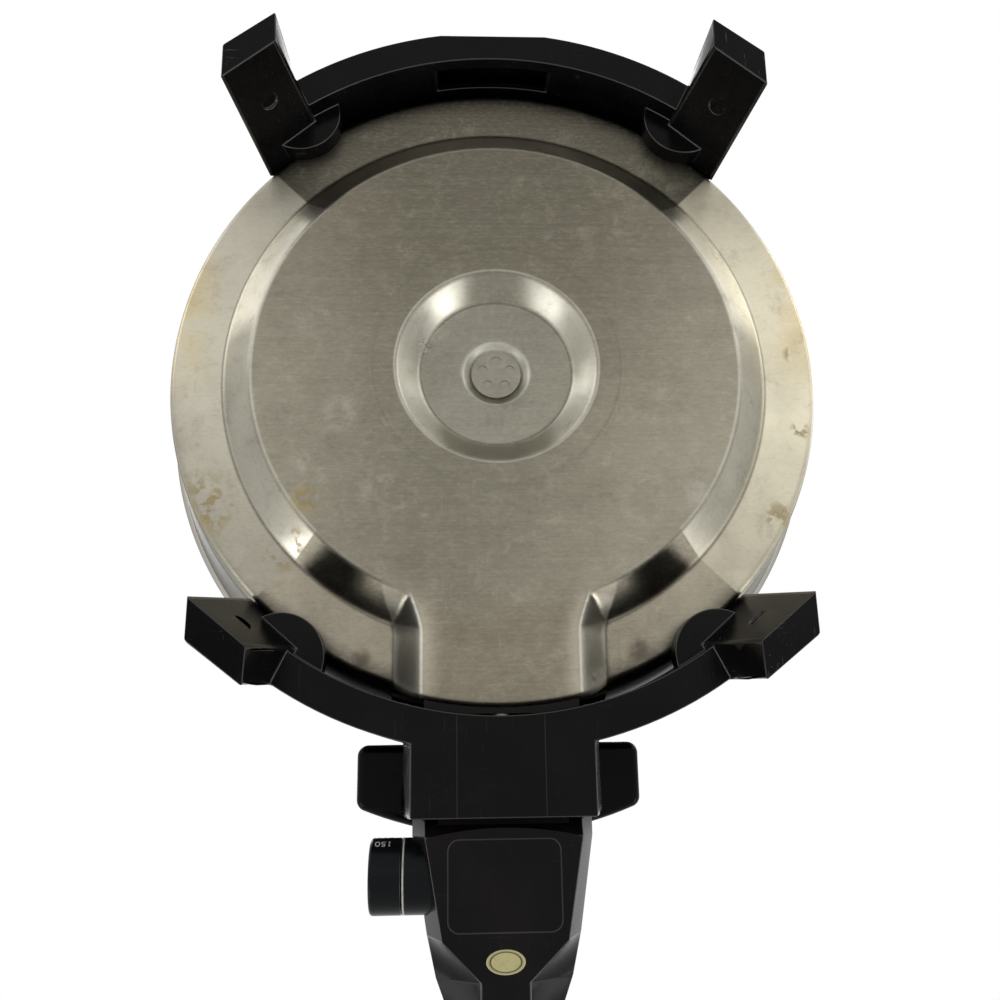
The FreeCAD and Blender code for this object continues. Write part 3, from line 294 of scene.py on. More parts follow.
def brushing(finish, along=28.0, across=1300.0):
    """Fine streaks that run along X."""
    fine = finish.noise(1.0, 3.0, 0.6, finish.stretched((along, across, across)))
    long = finish.noise(1.0, 2.0, 0.5, finish.stretched((along * 0.4, across * 0.35, across * 0.35)))
    return fine * 0.65 + long * 0.35


AMBER_SPOTS = [(131.0, -63.0, 19.0), (95.0, -83.0, 13.0), (91.0, -80.0, 8.0), (84.0, -63.0, 9.0),
               (-128.0, -69.0, 9.0), (-141.0, -28.0, 6.0), (-140.0, 10.0, 5.0)]
BROWN_SPOTS = [(-43.0, -142.0, 9.0), (-60.0, -128.0, 7.0), (60.0, -131.0, 6.0)]
PALE_SPOTS = [(70.0, -24.0, 12.0), (97.0, -22.0, 9.0), (52.0, -59.0, 13.0), (30.0, 15.0, 9.0),
              (-88.0, -60.0, 10.0), (84.0, -46.0, 8.0), (-30.0, 64.0, 9.0)]
PIT_SPOTS = [(33.0, 13.0, 6.0)]


# %% Tone of the disc, the ring and the pressed slopes
def tongue_share(finish):
    """0 on the tongue's edge, 1 where its slope meets the ring; the edge flares towards the root."""
    across = finish.axis("x").abs()
    ease = (finish.axis("y") - AXIS_Y).rise(*TONGUE_EASE_Y)
    half = TONGUE_ROOT_HALF - ease * (TONGUE_ROOT_HALF - TONGUE_HALF)
    return (across - half) / TONGUE_RUN


def disc_tone(finish, x, y, radius):
    """Olive grey, with painted shade darker to the rear; a little lighter far from the middle plane."""
    tone = finish.blend(y.rise(-0.100, 0.125), (0.235, 0.217, 0.165), (0.116, 0.105, 0.076))
    tone = finish.blend(x.abs().rise(0.035, 0.12) * 0.55, tone, (0.27, 0.248, 0.194))
    tone = finish.blend(spot(finish, 24.0, -62.0, 90.0) * 0.45, tone, (0.115, 0.106, 0.078))
    return finish.blend(radius.rise(0.037, 0.034), tone, (0.230, 0.221, 0.176))


def ring_tone(finish, x, y, sector):
    """Painted highlight at the sides; painted shade in the sectors by the brackets, most of all the rear
    one.
    """
    # Painted highlight: lighter at the sides, most on -x; darker towards front and rear and at the front
    # on +x.
    tone = finish.blend(x.rise(0.13, -0.13), (0.44, 0.415, 0.335), (0.57, 0.53, 0.405))
    tone = finish.blend((y - 0.01).abs().rise(0.025, 0.110) * 0.55, tone, (0.26, 0.24, 0.19))
    tone = finish.blend(x.rise(0.0, 0.09) * y.rise(0.02, -0.08) * 0.5, tone, (0.21, 0.195, 0.155))
    front = finish.blend(x.abs().rise(0.03, 0.09), (0.235, 0.21, 0.16), (0.29, 0.262, 0.200))
    # Painted shade in the sectors by the brackets, darker in the rear one.
    dull_stains_and_shade = finish.blend(y.rise(-0.02, 0.02), front, (0.100, 0.091, 0.068))
    # Painted shadow along the brackets' edge, nearly black.
    dull_stains_and_shade = finish.blend((x * x + y * y) .rise(0.0196, 0.0222) * 0.75, dull_stains_and_shade, (0.02, 0.018, 0.014))
    return finish.blend(sector, tone, dull_stains_and_shade)


def slope_tone(finish, tone, x, y, radius, sector, tongue):
    """Painted highlights on the slopes, brightest where they face the sides; a painted highlight line on
    every ridge, a painted shade line in every valley.
    """
    bevel = radius.bump_at(BEVEL_MIDDLE, BEVEL_REACH).rise(0.0, 0.35) * (1.0 - tongue)
    # Painted highlight on the bevel outside the sectors, stronger to the rear, with a brighter spot at
    # the front corner on +x.
    bright = finish.blend(y.rise(0.012, 0.030), (0.34, 0.325, 0.27), (0.80, 0.77, 0.66))
    corner = y.rise(-0.075, -0.083) * x.rise(-0.02, 0.02)
    bright = finish.blend(corner * 0.45, bright, (0.85, 0.82, 0.72))
    tone = finish.blend(bevel * (1.0 - sector) * 0.9, tone, bright)
    # Painted light and shade on the bevel inside the sectors: light at the rear, dark at the front.
    shaded = finish.blend(x.abs().rise(0.030, 0.060), (0.80, 0.74, 0.60), (0.50, 0.46, 0.37))
    shaded = finish.blend(y.rise(0.02, -0.02), shaded, (0.085, 0.078, 0.06))
    tone = finish.blend(bevel * sector * 0.8, tone, shaded)
    # Painted reflection on the recess wall, with painted highlights where rear_light and front_light
    # fall.
    recess = radius.bump_at(RECESS_MIDDLE, RECESS_REACH).rise(0.0, 0.4)
    rear_light = (x.abs() - 0.024).abs().rise(0.012, 0.002) * y.rise(-0.005, 0.005) * 0.32
    front_light = (x.abs() - 0.034).abs().rise(0.014, 0.003) * y.rise(0.0, -0.012)
    wall = finish.blend(x.abs().rise(0.008, 0.019), (0.22, 0.21, 0.165), (0.46, 0.44, 0.37))
    wall = finish.blend(y.rise(-0.006, -0.025) * 0.6, wall, (0.52, 0.50, 0.42))
    wall = finish.blend(rear_light.most(front_light), wall, (0.96, 0.94, 0.84))
    tone = finish.blend(recess * 0.9, tone, wall)
    # Painted highlight on the slope of the middle dimple.
    tone = finish.blend(radius.bump_at(0.0139, 0.0028).rise(0.0, 0.5) * 0.7, tone, (0.56, 0.55, 0.48))
    # Painted highlight lines on the ridges, fainter in the sectors.
    ridge_highlight = radius.bump_at(0.1108, 0.0011) * (1.0 - tongue)
    ridge_highlight = (ridge_highlight * (1.0 - sector * 0.7)).most(radius.bump_at(0.0466, 0.0009) * 0.8)
    tone = finish.blend(ridge_highlight * 0.30, tone, (0.80, 0.78, 0.70))
    # Painted shade lines in the valleys.
    valley_shade = (radius.bump_at(0.1262, 0.0010) * (1.0 - tongue)).most(radius.bump_at(0.0350, 0.0008))
    return finish.blend(valley_shade * 0.55, tone, (0.05, 0.045, 0.034))


# %% Brushed stainless steel
def make_base_steel():
    finish = Finish("base_steel")
    x, y, radius = from_axis(finish)
    streaks = brushing(finish)
    clouds = finish.noise(22.0, 4.0, 0.6)
    mottle = finish.noise(75.0, 7.0, 0.78, distortion=0.6)
    grain = finish.noise(1.0, 4.0, 0.7, finish.stretched((350.0, 900.0, 900.0)))
    across = x.abs()

    sector = (y.abs() * 1.02 - across).rise(-0.0007, 0.0007)
    share = tongue_share(finish)
    at_front = y.rise(-0.080, -0.112)
    tongue = share.rise(1.05, 0.9) * at_front
    slope = share.bump_at(0.5, 0.62).rise(0.0, 0.25) * y.rise(-0.104, -0.110)
    tone = finish.blend(radius.rise(0.112, 0.1135), disc_tone(finish, x, y, radius),
                        ring_tone(finish, x, y, sector))
    flat = finish.blend(share.rise(-0.9, 0.0) * 0.6, (0.190, 0.168, 0.125), (0.46, 0.42, 0.33))
    tone = finish.blend(tongue * y.rise(-0.095, -0.118), tone, flat)
    side_light = finish.blend(x.rise(0.01, -0.01), (0.40, 0.385, 0.32), (0.78, 0.74, 0.61))
    tone = finish.blend(slope * 0.9, tone, side_light)
    tone = slope_tone(finish, tone, x, y, radius, sector, tongue)
    # Painted highlight line along the tongue's flat edge.
    tongue_edge_highlight = share.bump_at(-0.02, 0.10) * y.rise(-0.103, -0.109)
    tone = finish.blend(tongue_edge_highlight * 0.75, tone, (0.86, 0.83, 0.74))
    # Painted shade line where the tongue's slope meets the ring.
    tongue_root_shade = share.bump_at(1.04, 0.07) * y.rise(-0.110, -0.114)
    tone = finish.blend(tongue_root_shade * 0.5, tone, (0.06, 0.055, 0.042))

    gold = across.rise(0.124, 0.142) * (y - 0.035).abs().rise(0.055, 0.01) * clouds.rise(0.36, 0.56)
    tone = finish.blend(gold * 0.55, tone, (0.54, 0.43, 0.22))
    tone = finish.blend(clouds.rise(0.40, 0.72) * 0.28, tone, (0.13, 0.115, 0.088))
    tone = finish.blend(mottle.rise(0.50, 0.74) * 0.22, tone, (0.45, 0.42, 0.33))
    tone = finish.blend(mottle.rise(0.50, 0.26) * 0.30, tone, (0.09, 0.08, 0.06))
    tone = finish.blend(grain.rise(0.45, 0.75) * 0.14, tone, (0.48, 0.45, 0.36))
    tone = finish.blend(grain.rise(0.50, 0.25) * 0.16, tone, (0.08, 0.072, 0.055))
    tone = finish.blend(streaks.rise(0.42, 0.68) * 0.05, tone, (0.52, 0.50, 0.43))
    tone = finish.blend(streaks.rise(0.46, 0.30) * 0.06, tone, (0.10, 0.09, 0.07))
    tone = finish.blend(radius.bump_at(0.0575, 0.0022) * 0.14, tone, (0.09, 0.085, 0.065))

    ragged = finish.noise(95.0, 4.0, 0.62)
    pale = spots(finish, PALE_SPOTS) * ragged.rise(0.44, 0.56)
    tone = finish.blend(pale * 0.16, tone, (0.52, 0.50, 0.44))
    grime = finish.noise(70.0, 5.0, 0.7).rise(0.56, 0.74)
    tone = finish.blend(grime * 0.22, tone, (0.13, 0.11, 0.075))
    amber = spots(finish, AMBER_SPOTS) * ragged.rise(0.47, 0.54)
    amber_tone = finish.blend(ragged.rise(0.50, 0.62), (0.34, 0.245, 0.09), (0.44, 0.36, 0.17))
    tone = finish.blend(amber * 0.66, tone, amber_tone)
    brown = spots(finish, BROWN_SPOTS) * ragged.rise(0.42, 0.60)
    tone = finish.blend(brown * 0.40, tone, (0.115, 0.07, 0.035))
    hairs = finish.noise(1.0, 2.0, 0.5, finish.stretched((700.0, 45.0, 300.0))).rise(0.70, 0.74)
    tone = finish.blend(hairs * 0.04, tone, (0.60, 0.57, 0.48))
    pitted = finish.cells(900.0).rise(0.34, 0.20) * spots(finish, PIT_SPOTS)
    specks = finish.cells(330.0).rise(0.09, 0.04) * finish.noise(18.0, 2.0).rise(0.52, 0.66)
    tone = finish.blend(pitted.most(specks * 0.5) * 0.8, tone, (0.05, 0.042, 0.03))

    dull_stains_and_shade = amber.most(brown).most(pitted)
    pressed = radius.bump_at(BEVEL_MIDDLE, BEVEL_REACH).rise(0.0, 0.35)
    pressed = pressed.most(radius.bump_at(RECESS_MIDDLE, RECESS_REACH))
    rough = 0.29 + streaks * 0.08 + clouds * 0.06 + mottle * 0.06 - pressed * 0.10 + dull_stains_and_shade * 0.2
    normal = finish.bump(streaks, 0.00003, 0.5)
    normal = finish.bump(mottle, 0.00006, 0.5, normal)
    normal = finish.bump(finish.noise(16.0, 2.0), 0.0007, 0.5, normal)
    return finish.set(Base_Color=tone, Metallic=1.0 - dull_stains_and_shade * 0.6, Roughness=rough, Normal=normal)


BASE_STEEL = make_base_steel()
print("finish", BASE_STEEL.material.name, "nodes", len(BASE_STEEL.tree.nodes))


# %% [markdown]
# ## Other metals
#
# The pan's wall and the lid were polished on a lathe, so their streaks run round the axis. A noise
# on the height and the radius alone gives rings. Painted shade blackens the outside of the pan's wall
# where it stands behind a bracket; an attribute of the pan's mesh tells outside from inside. The
# small hidden parts are zinc plated or nickel plated, a cloudier surface.

# %% Spun steel, plated steel, bronze
def make_spun_steel(name, tone, rough, wall_shade_depth=0.0, edge_tint=1.0):
    """Steel with rings round the axis; the fourth argument is how black the painted shade on the low
    wall gets.
    """
    finish = Finish(name)
    x, y, radius = from_axis(finish)
    height = finish.axis("z")
    ring_place = finish.node("ShaderNodeCombineXYZ", None, {0: radius * 900.0, 2: height * 900.0})
    rings = finish.noise(1.0, 4.0, 0.6, ring_place)
    clouds = finish.noise(16.0, 3.0)
    colour = finish.blend(clouds.rise(0.35, 0.7) * 0.35, tone, tuple(c * 0.78 for c in tone))
    colour = finish.blend(rings.rise(0.35, 0.75) * 0.18, colour, tuple(min(1.0, c * 1.25) for c in tone))
    outside = finish.node("ShaderNodeAttribute", {"attribute_name": "outside"}, out="Fac")
    low_wall = height.rise(0.104, 0.089) * radius.rise(0.140, 0.146) * outside
    # Painted shade: the low outer wall behind each bracket turns near black, rougher and less metallic.
    wall_shade = low_wall * (y.abs() * 0.64 - x.abs()).rise(-0.008, 0.004) * wall_shade_depth
    colour = finish.blend(wall_shade, colour, (0.004, 0.0038, 0.0034))
    rough = rough + rings * 0.12 + clouds * 0.06 + wall_shade * 0.30
    return finish.set(Base_Color=colour, Metallic=1.0 - wall_shade, Roughness=rough,
                      Specular_Tint=(edge_tint, edge_tint, edge_tint, 1.0),
                      Normal=finish.bump(rings, 0.00003, 0.6))


def make_plated(name, tone, rough=0.32, metallic=1.0):
    finish = Finish(name)
    clouds = finish.noise(90.0, 4.0, 0.6)
    fine = finish.noise(900.0, 2.0, 0.5)
    colour = finish.blend(clouds.rise(0.35, 0.7) * 0.5, tone, tuple(c * 0.7 for c in tone))
    return finish.set(Base_Color=colour, Metallic=metallic, Roughness=rough + clouds * 0.15,
                      Normal=finish.bump(fine, 0.00002, 0.5))


PAN_STEEL = make_spun_steel("pan_steel", (0.36, 0.35, 0.31), 0.22, 0.97, 0.35)
LID_STEEL = make_spun_steel("lid_steel", (0.52, 0.51, 0.48), 0.10)
ZINC_STEEL = make_plated("zinc_steel", (0.48, 0.48, 0.46))
SHEATH_STEEL = make_plated("sheath_steel", (0.22, 0.20, 0.18), 0.45)
NICKEL = make_plated("nickel_contact", (0.62, 0.60, 0.54), 0.20)
BRONZE = make_plated("spring_bronze", (0.66, 0.42, 0.18), 0.25)


# %% [markdown]
# ## Black mouldings
#
# The brackets, handles and the control are moulded phenolic: nearly black, with a half gloss. Lint,
# fingerprints and fine scratches show on it as grey. The lint is the thin end of a stretched noise,
# and the scratches are narrow bands of two turned ones. The leg ends are rubbed by the table, and
# handling has polished every edge, so the rounded edges get a finish of their own with more gloss.

# %% Phenolic and small plastics
def make_phenolic(name, tone, rough, lint=0.10, gloss=0.14, mould_lines=()):
    finish = Finish(name)
    smudges = finish.noise(35.0, 4.0, 0.6)
    grain = finish.noise(1400.0, 2.0, 0.5)
    scratch_a = finish.noise(1.0, 3.0, 0.6, finish.stretched((900.0, 60.0, 200.0))).rise(0.66, 0.72)
    scratch_b = finish.noise(1.0, 3.0, 0.6, finish.stretched((80.0, 1000.0, 150.0))).rise(0.67, 0.73)
    dust = finish.cells(700.0).rise(0.16, 0.08) * finish.noise(28.0, 3.0).rise(0.50, 0.66)
    worn = finish.axis("z").rise(0.0012, 0.0) * (scratch_a + scratch_b + dust).least(1.0)
    marks = (scratch_a * 0.4 + scratch_b * 0.4 + dust).least(1.0)
    colour = finish.blend(smudges.rise(0.40, 0.75) * 0.45, tone, tuple(c * 2.2 + 0.002 for c in tone))
    colour = finish.blend(marks * lint, colour, (0.22, 0.215, 0.20))
    colour = finish.blend(worn * 0.55, colour, (0.16, 0.15, 0.14))
    for centre in mould_lines:
        line = finish.axis("x").bump_at(centre, 0.0003) * finish.axis("z").rise(0.0416, 0.0412)
        line = line * finish.axis("y").rise(-0.10, -0.11)
        colour = finish.blend(line * 0.5, colour, (0.07, 0.065, 0.06))
    roughness = rough + smudges * 0.12 + marks * 0.12
    normal = finish.bump(grain, 0.00001, 0.5)
    normal = finish.bump(finish.noise(60.0, 2.0), 0.00025, 0.35, normal)
    return finish.set(Base_Color=colour, Roughness=roughness, Normal=normal, Specular_IOR_Level=gloss)


BLACK_BRACKET = make_phenolic("black_bracket", (0.0030, 0.0028, 0.0030), 0.16, 0.11, 0.085,
                              (0.0188, -0.0171))
BLACK_HANDLE = make_phenolic("black_handle", (0.0015, 0.0014, 0.0018), 0.18, 0.06, 0.06)
BLACK_CONTROL = make_phenolic("black_control", (0.0042, 0.0032, 0.0033), 0.16, 0.10, 0.09)
BLACK_DIAL = make_phenolic("black_dial", (0.0025, 0.0032, 0.0038), 0.22, 0.05, 0.10)
RUBBED_EDGE = make_phenolic("rubbed_edge", (0.008, 0.0075, 0.007), 0.15, 0.14, 0.50)
BROWN_BLOCK = make_phenolic("brown_block", (0.006, 0.004, 0.003), 0.50, 0.05, 0.05)
# Painted shade: the plates are near black because the terminal plate sits in the shade between tongue
# and bracket.
SHADED_PLATE = make_phenolic("shaded_plate", (0.008, 0.007, 0.006), 0.42)
# Lighter than the control's black: a painted highlight on the raised label border.
RAISED_LINE = make_phenolic("raised_line", (0.021, 0.019, 0.018), 0.25, 0.10, 0.25)


def make_soft(name, tone, rough, speck=0.25, **more):
    finish = Finish(name)
    clouds = finish.noise(120.0, 4.0, 0.6)
    fine = finish.noise(1500.0, 2.0, 0.5)
    colour = finish.blend(clouds.rise(0.35, 0.7) * speck, tone, tuple(c * 0.6 for c in tone))
    return finish.set(Base_Color=colour, Roughness=rough + clouds * 0.1,
                      Normal=finish.bump(fine, 0.00003, 0.5), **more)


RED_SILICONE = make_soft("red_silicone", (0.42, 0.03, 0.015), 0.40)
CERAMIC = make_soft("ceramic", (0.66, 0.62, 0.53), 0.55)
BLACK_RUBBER = make_soft("black_rubber", (0.014, 0.014, 0.014), 0.60)
DIAL_PRINT = make_soft("dial_print", (0.62, 0.62, 0.60), 0.5, 0.35)
AMBER_LENS = make_soft("amber_lens", (0.75, 0.20, 0.03), 0.12, 0.1, Transmission_Weight=0.6)
LAMP_GLASS = make_soft("lamp_glass", (0.85, 0.75, 0.60), 0.05, 0.1, Transmission_Weight=0.8)


# %% [markdown]
# ## Oval sticker
#
# A bare oval of gold foil with a thin dark ring is stuck on the sloping facet near the control's
# neck. The ring could be a mesh of its own, but the print has no thickness. So the finish works out
# how far a point lies from the sticker's centre towards its edge, and colours the ring by that.


# %% Foil with a printed ring
def make_sticker():
    finish = Finish("sticker_foil")
    low, high = (np.array(corner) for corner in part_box("oval_sticker"))
    centre, half = (low + high) / 2, (high - low) / 2
    x = (finish.axis("x") - float(centre[0])) / float(half[0])
    y = (finish.axis("y") - float(centre[1])) / float(half[1])
    out = (x * x + y * y) ** 0.5
    mottle = finish.noise(500.0, 4.0, 0.6)
    tone = finish.blend(out.rise(0.70, 0.84), (0.50, 0.455, 0.215), (0.44, 0.40, 0.19))
    tone = finish.blend(out.bump_at(0.80, 0.085), tone, (0.035, 0.030, 0.018))
    tone = finish.blend(out.rise(0.93, 1.0) * 0.8, tone, (0.64, 0.60, 0.38))
    tone = finish.blend(mottle.rise(0.45, 0.7) * 0.25, tone, (0.25, 0.21, 0.09))
    return finish.set(Base_Color=tone, Metallic=0.3, Roughness=0.32 + mottle * 0.15,
                      Normal=finish.bump(mottle, 0.00003, 0.5))


STICKER_FOIL = make_sticker()

# %% [markdown]
# ## Ring behind the dial
#
# The thin ring between the dial and its boss is black with one white line round it. The line lies on
# the side towards the control, so a narrow band of x carries it.


# %% Black ring with a white line
def make_line_ring():
    finish = Finish("line_ring")
    low, high = (np.array(corner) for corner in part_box("indicator_ring"))
    line_x = float(low[0] + (high[0] - low[0]) * 0.35)
    clouds = finish.noise(300.0, 3.0)
    line = finish.axis("x").bump_at(line_x, 0.00045).rise(0.0, 0.35)
    print("line ring from %.4f to %.4f" % (low[0], high[0]))
    tone = finish.blend(line, (0.004, 0.004, 0.005), (0.62, 0.61, 0.58))
    tone = finish.blend(clouds.rise(0.45, 0.7) * 0.3, tone, (0.10, 0.10, 0.095))
    return finish.set(Base_Color=tone, Roughness=0.35 + clouds * 0.1, Specular_IOR_Level=0.2)


LINE_RING = make_line_ring()

# %% [markdown]
# ## Surfaces from arrays
#
# A pressed or spun shape is a grid of points: rows run along its profile and columns run round the
# axis. The helper joins neighbouring rows and columns into quads with whole-array indexing. Rows
# that shrink to one point are merged afterwards, which closes the pole.


# %% Mesh helpers
def grid_quads(rows, columns):
    """Corner indices of the quads between rows; the last column joins the first."""
    index = np.arange(rows * columns).reshape(rows, columns)
    right = np.roll(index, -1, axis=1)
    return np.stack([index[:-1], right[:-1], right[1:], index[1:]], axis=-1).reshape(-1, 4)


def clean_piece(obj, merge=1e-6):
    """Merges doubles, drops faces without area and turns all faces outwards."""
    mesh = bmesh.new()
    mesh.from_mesh(obj.data)
    bmesh.ops.remove_doubles(mesh, verts=mesh.verts, dist=merge)
    bmesh.ops.dissolve_degenerate(mesh, edges=mesh.edges, dist=merge / 10)
    bmesh.ops.recalc_face_normals(mesh, faces=mesh.faces)
    mesh.to_mesh(obj.data)
    mesh.free()


def add_piece(name, points, quads, finish, body, nodes=(), smooth=True):
    """Makes a mesh from arrays, hangs it on its body and hides the nodes that it replaces."""
    mesh = bpy.data.meshes.new(name)
    mesh.from_pydata(points.reshape(-1, 3).tolist(), [], quads.tolist())
    obj = bpy.data.objects.new(name, mesh)
    bpy.context.collection.objects.link(obj)
    clean_piece(obj)
    mesh.polygons.foreach_set("use_smooth", np.full(len(mesh.polygons), smooth))
    mesh.materials.append(finish.material)
    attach(obj, body)
    if nodes:
        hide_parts(*nodes)
    print(name, "faces", len(mesh.polygons))
    return obj


def rounded_profile(corners, steps=8):
    """Polyline through (r, z, corner radius) rows, with each corner turned into an arc."""
    corners = np.array(corners, float)
    points = [corners[0, :2]]
    for before, corner, after in zip(corners[:-2], corners[1:-1], corners[2:]):
        into = (corner - before)[:2] / np.linalg.norm((corner - before)[:2])
        out = (after - corner)[:2] / np.linalg.norm((after - corner)[:2])
        turn = math.acos(float(np.clip(into @ out, -1.0, 1.0)))
        if corner[2] == 0 or turn < 1e-3:
            points.append(corner[:2])
            continue
        reach = corner[2] * math.tan(turn / 2)
        centre = corner[:2] + (out - into) / np.linalg.norm(out - into) * corner[2] / math.cos(turn / 2)
        start = corner[:2] - into * reach - centre
        side = math.copysign(1.0, into[0] * out[1] - into[1] * out[0])
        angles = np.linspace(0.0, turn, steps + 1) * side
        cos, sin = np.cos(angles), np.sin(angles)
        arc = np.stack([start[0] * cos - start[1] * sin, start[0] * sin + start[1] * cos], axis=1)
        points.extend(centre + arc)
    points.append(corners[-1, :2])
    return np.array(points)


def spin(profile, columns=320):
    """Grid of a profile (r, z) turned about the pan's axis: x = r sin t, y = axis + r cos t."""
    turn = np.linspace(0.0, 2 * np.pi, columns, endpoint=False)
    radius = profile[:, 0][:, None]
    height = np.broadcast_to(profile[:, 1][:, None], (len(profile), columns))
    return np.stack([radius * np.sin(turn), AXIS_Y + radius * np.cos(turn), height], axis=-1)


def add_spun(name, profile, finish, body, nodes):
    """A closed turned piece: its profile starts and ends on the axis."""
    points = spin(profile)
    return add_piece(name, points, grid_quads(*points.shape[:2]), finish, body, nodes)


# %% [markdown]
# ## Pressed base
#
# The underside is one height over the plane. Its round part depends on the radius alone: dimple,
# recess, disc, bevel and ring, as straight runs whose bends are rounded by averaging the height over
# a few millimetres. The tongue is a second height that depends on the distance from the middle
# plane. Where the two meet, the lower one shows, and a smooth minimum gives the fillet between them.
# The wall and the rolled lip follow as more rows, and the sheet's upper side closes the piece.

# %% Height of the underside
def smooth_step(value):
    """0 to 1 with level ends: 3t^2 - 2t^3."""
    value = np.clip(value, 0.0, 1.0)
    return value * value * (3 - 2 * value)


def round_height(radius):
    """Height of the round part over the disc, with its bends rounded by a running mean."""
    offsets = np.linspace(-BEND_WIDTH, BEND_WIDTH, 13)
    weights = np.cos(offsets / BEND_WIDTH * np.pi / 2)
    layers = np.interp(np.abs(radius[..., None] + offsets), BASE_PROFILE[:, 0], BASE_PROFILE[:, 1])
    return (layers * weights).sum(-1) / weights.sum()


def tongue_side(x, y):
    """0 on the tongue's flat, 1 on the ring beside it, between them the share of the slope."""
    ease = smooth_step((TONGUE_EASE_Y[0] - y) / (TONGUE_EASE_Y[0] - TONGUE_EASE_Y[1]))
    half = TONGUE_ROOT_HALF + (TONGUE_HALF - TONGUE_ROOT_HALF) * ease
    return (np.abs(x) - half) / TONGUE_RUN


def tongue_height(x, y):
    """Height of the tongue over the disc; behind its root it rises out of the way."""
    side = tongue_side(x, y)
    rounded = 0.5 * (np.sqrt(side ** 2 + 0.02) - np.sqrt((side - 1) ** 2 + 0.02) + 1)
    behind = np.clip((y - TONGUE_BACK_Y) / (20.0 * MM), 0.0, 1.0)
    return RING_RISE * (rounded + 2 * behind)


def base_height(x, y):
    """Lower of the round part and the tongue; the fillet between them fades out on the flats."""
    first = round_height(np.hypot(x, y))
    second = tongue_height(x, y)
    fillet = np.clip(0.5 * (first + second), 0.01 * MM, 1.2 * MM)
    gap = np.clip(0.5 + 0.5 * (second - first) / fillet, 0.0, 1.0)
    return second + (first - second) * gap - fillet * gap * (1 - gap) / 2


# %% Base as a closed sheet
def base_rows():
    """Radii of the rows on the underside, closer together at the bends and the groove."""
    bends = np.append(BASE_PROFILE[1:-1, 0], GROOVE_RADIUS)
    even = np.linspace(0.0, SHELL_RADIUS - EDGE_ROUND, 70)
    close = (bends[:, None] + np.linspace(-4.0, 4.0, 13) * MM).ravel()
    return np.unique(np.concatenate([even, close]).round(6))


def base_surface(columns=460):
    """Grid of the sheet: underside from the pole outwards, wall, rolled lip, upper side back in.

    Under the tongue the edge lies further out, and every row is stretched to reach it. A shallow
    groove, a bell curve of the radius, runs round the recess.
    """
    turn = np.linspace(0.0, 2 * np.pi, columns, endpoint=False)
    across, along = np.sin(turn), np.cos(turn)
    front = (along < 0).astype(float)
    side = tongue_side(SHELL_RADIUS * across, SHELL_RADIUS * along)
    edge = SHELL_RADIUS + TONGUE_OVERHANG * front * smooth_step(1.3 - side)
    rows = base_rows()
    shares = (rows / rows[-1])[:, None]
    radii = shares * (edge - EDGE_ROUND)
    heights = DISC_Z + base_height(radii * across, radii * along)
    groove = GROOVE_DEPTH * np.exp(-((radii - GROOVE_RADIUS) / GROOVE_WIDTH) ** 2)
    under = (radii, heights - groove)

    quarter = np.linspace(0.0, np.pi / 2, 9)[1:, None]
    edge_z = heights[-1]
    bend = (edge - EDGE_ROUND + EDGE_ROUND * np.sin(quarter),
            edge_z + EDGE_ROUND * (1 - np.cos(quarter)))

    wall_top = SHELL_TOP_Z - 2.5 * MM
    share = np.linspace(0.0, 1.0, 4)[1:, None]
    wall = (np.broadcast_to(edge, (3, columns)), bend[1][-1] + (wall_top - bend[1][-1]) * share)
    lip_rows = [(0.0, 0.15), (0.75, 0.45), (1.0, 1.1), (1.0, 1.7), (0.7, 2.3), (0.0, 2.5),
                (-1.2, 2.4), (-1.3, 0.0)]
    lip_part = (np.stack([np.full(columns, SHELL_RADIUS + r * MM) for r, _ in lip_rows]),
                np.stack([np.full(columns, wall_top + z * MM) for _, z in lip_rows]))
    inner = (radii[::-6] * (1 - 0.6 * MM / SHELL_RADIUS), heights[::-6] + SHEET)
    radius = np.concatenate([under[0], bend[0], wall[0], lip_part[0], inner[0]])
    height = np.concatenate([under[1], bend[1], wall[1], lip_part[1], inner[1]])
    return np.stack([radius * across, AXIS_Y + radius * along, height], axis=-1)


base_points = base_surface()
add_piece("pressed_base", base_points, grid_quads(*base_points.shape[:2]), BASE_STEEL,
          "skillet", ["bottom_shell"])

# %% [markdown]
# ## Pan and lid
#
# Both are spun from sheet, so a closed profile turned about the axis gives them whole. The pan's rim
# is rolled outwards into a bead, and the lid's flange lies on that bead with a skirt just inside it.

# %% Pan
def mark_outside(mesh):
    """Attribute for the painted shade: 1 where the normal points away from the axis, 0 on the inner
    side.
    """
    places, normals = np.empty((2, len(mesh.vertices) * 3))
    mesh.vertices.foreach_get("co", places)
    mesh.vertices.foreach_get("normal", normals)
    places, normals = places.reshape(-1, 3), normals.reshape(-1, 3)
    outward = places[:, 0] * normals[:, 0] + (places[:, 1] - AXIS_Y) * normals[:, 1] > 0
    outside = mesh.attributes.new("outside", "FLOAT", "POINT")
    outside.data.foreach_set("value", outward.astype(float))
    print("pan vertices outside", int(outward.sum()), "of", len(outward))


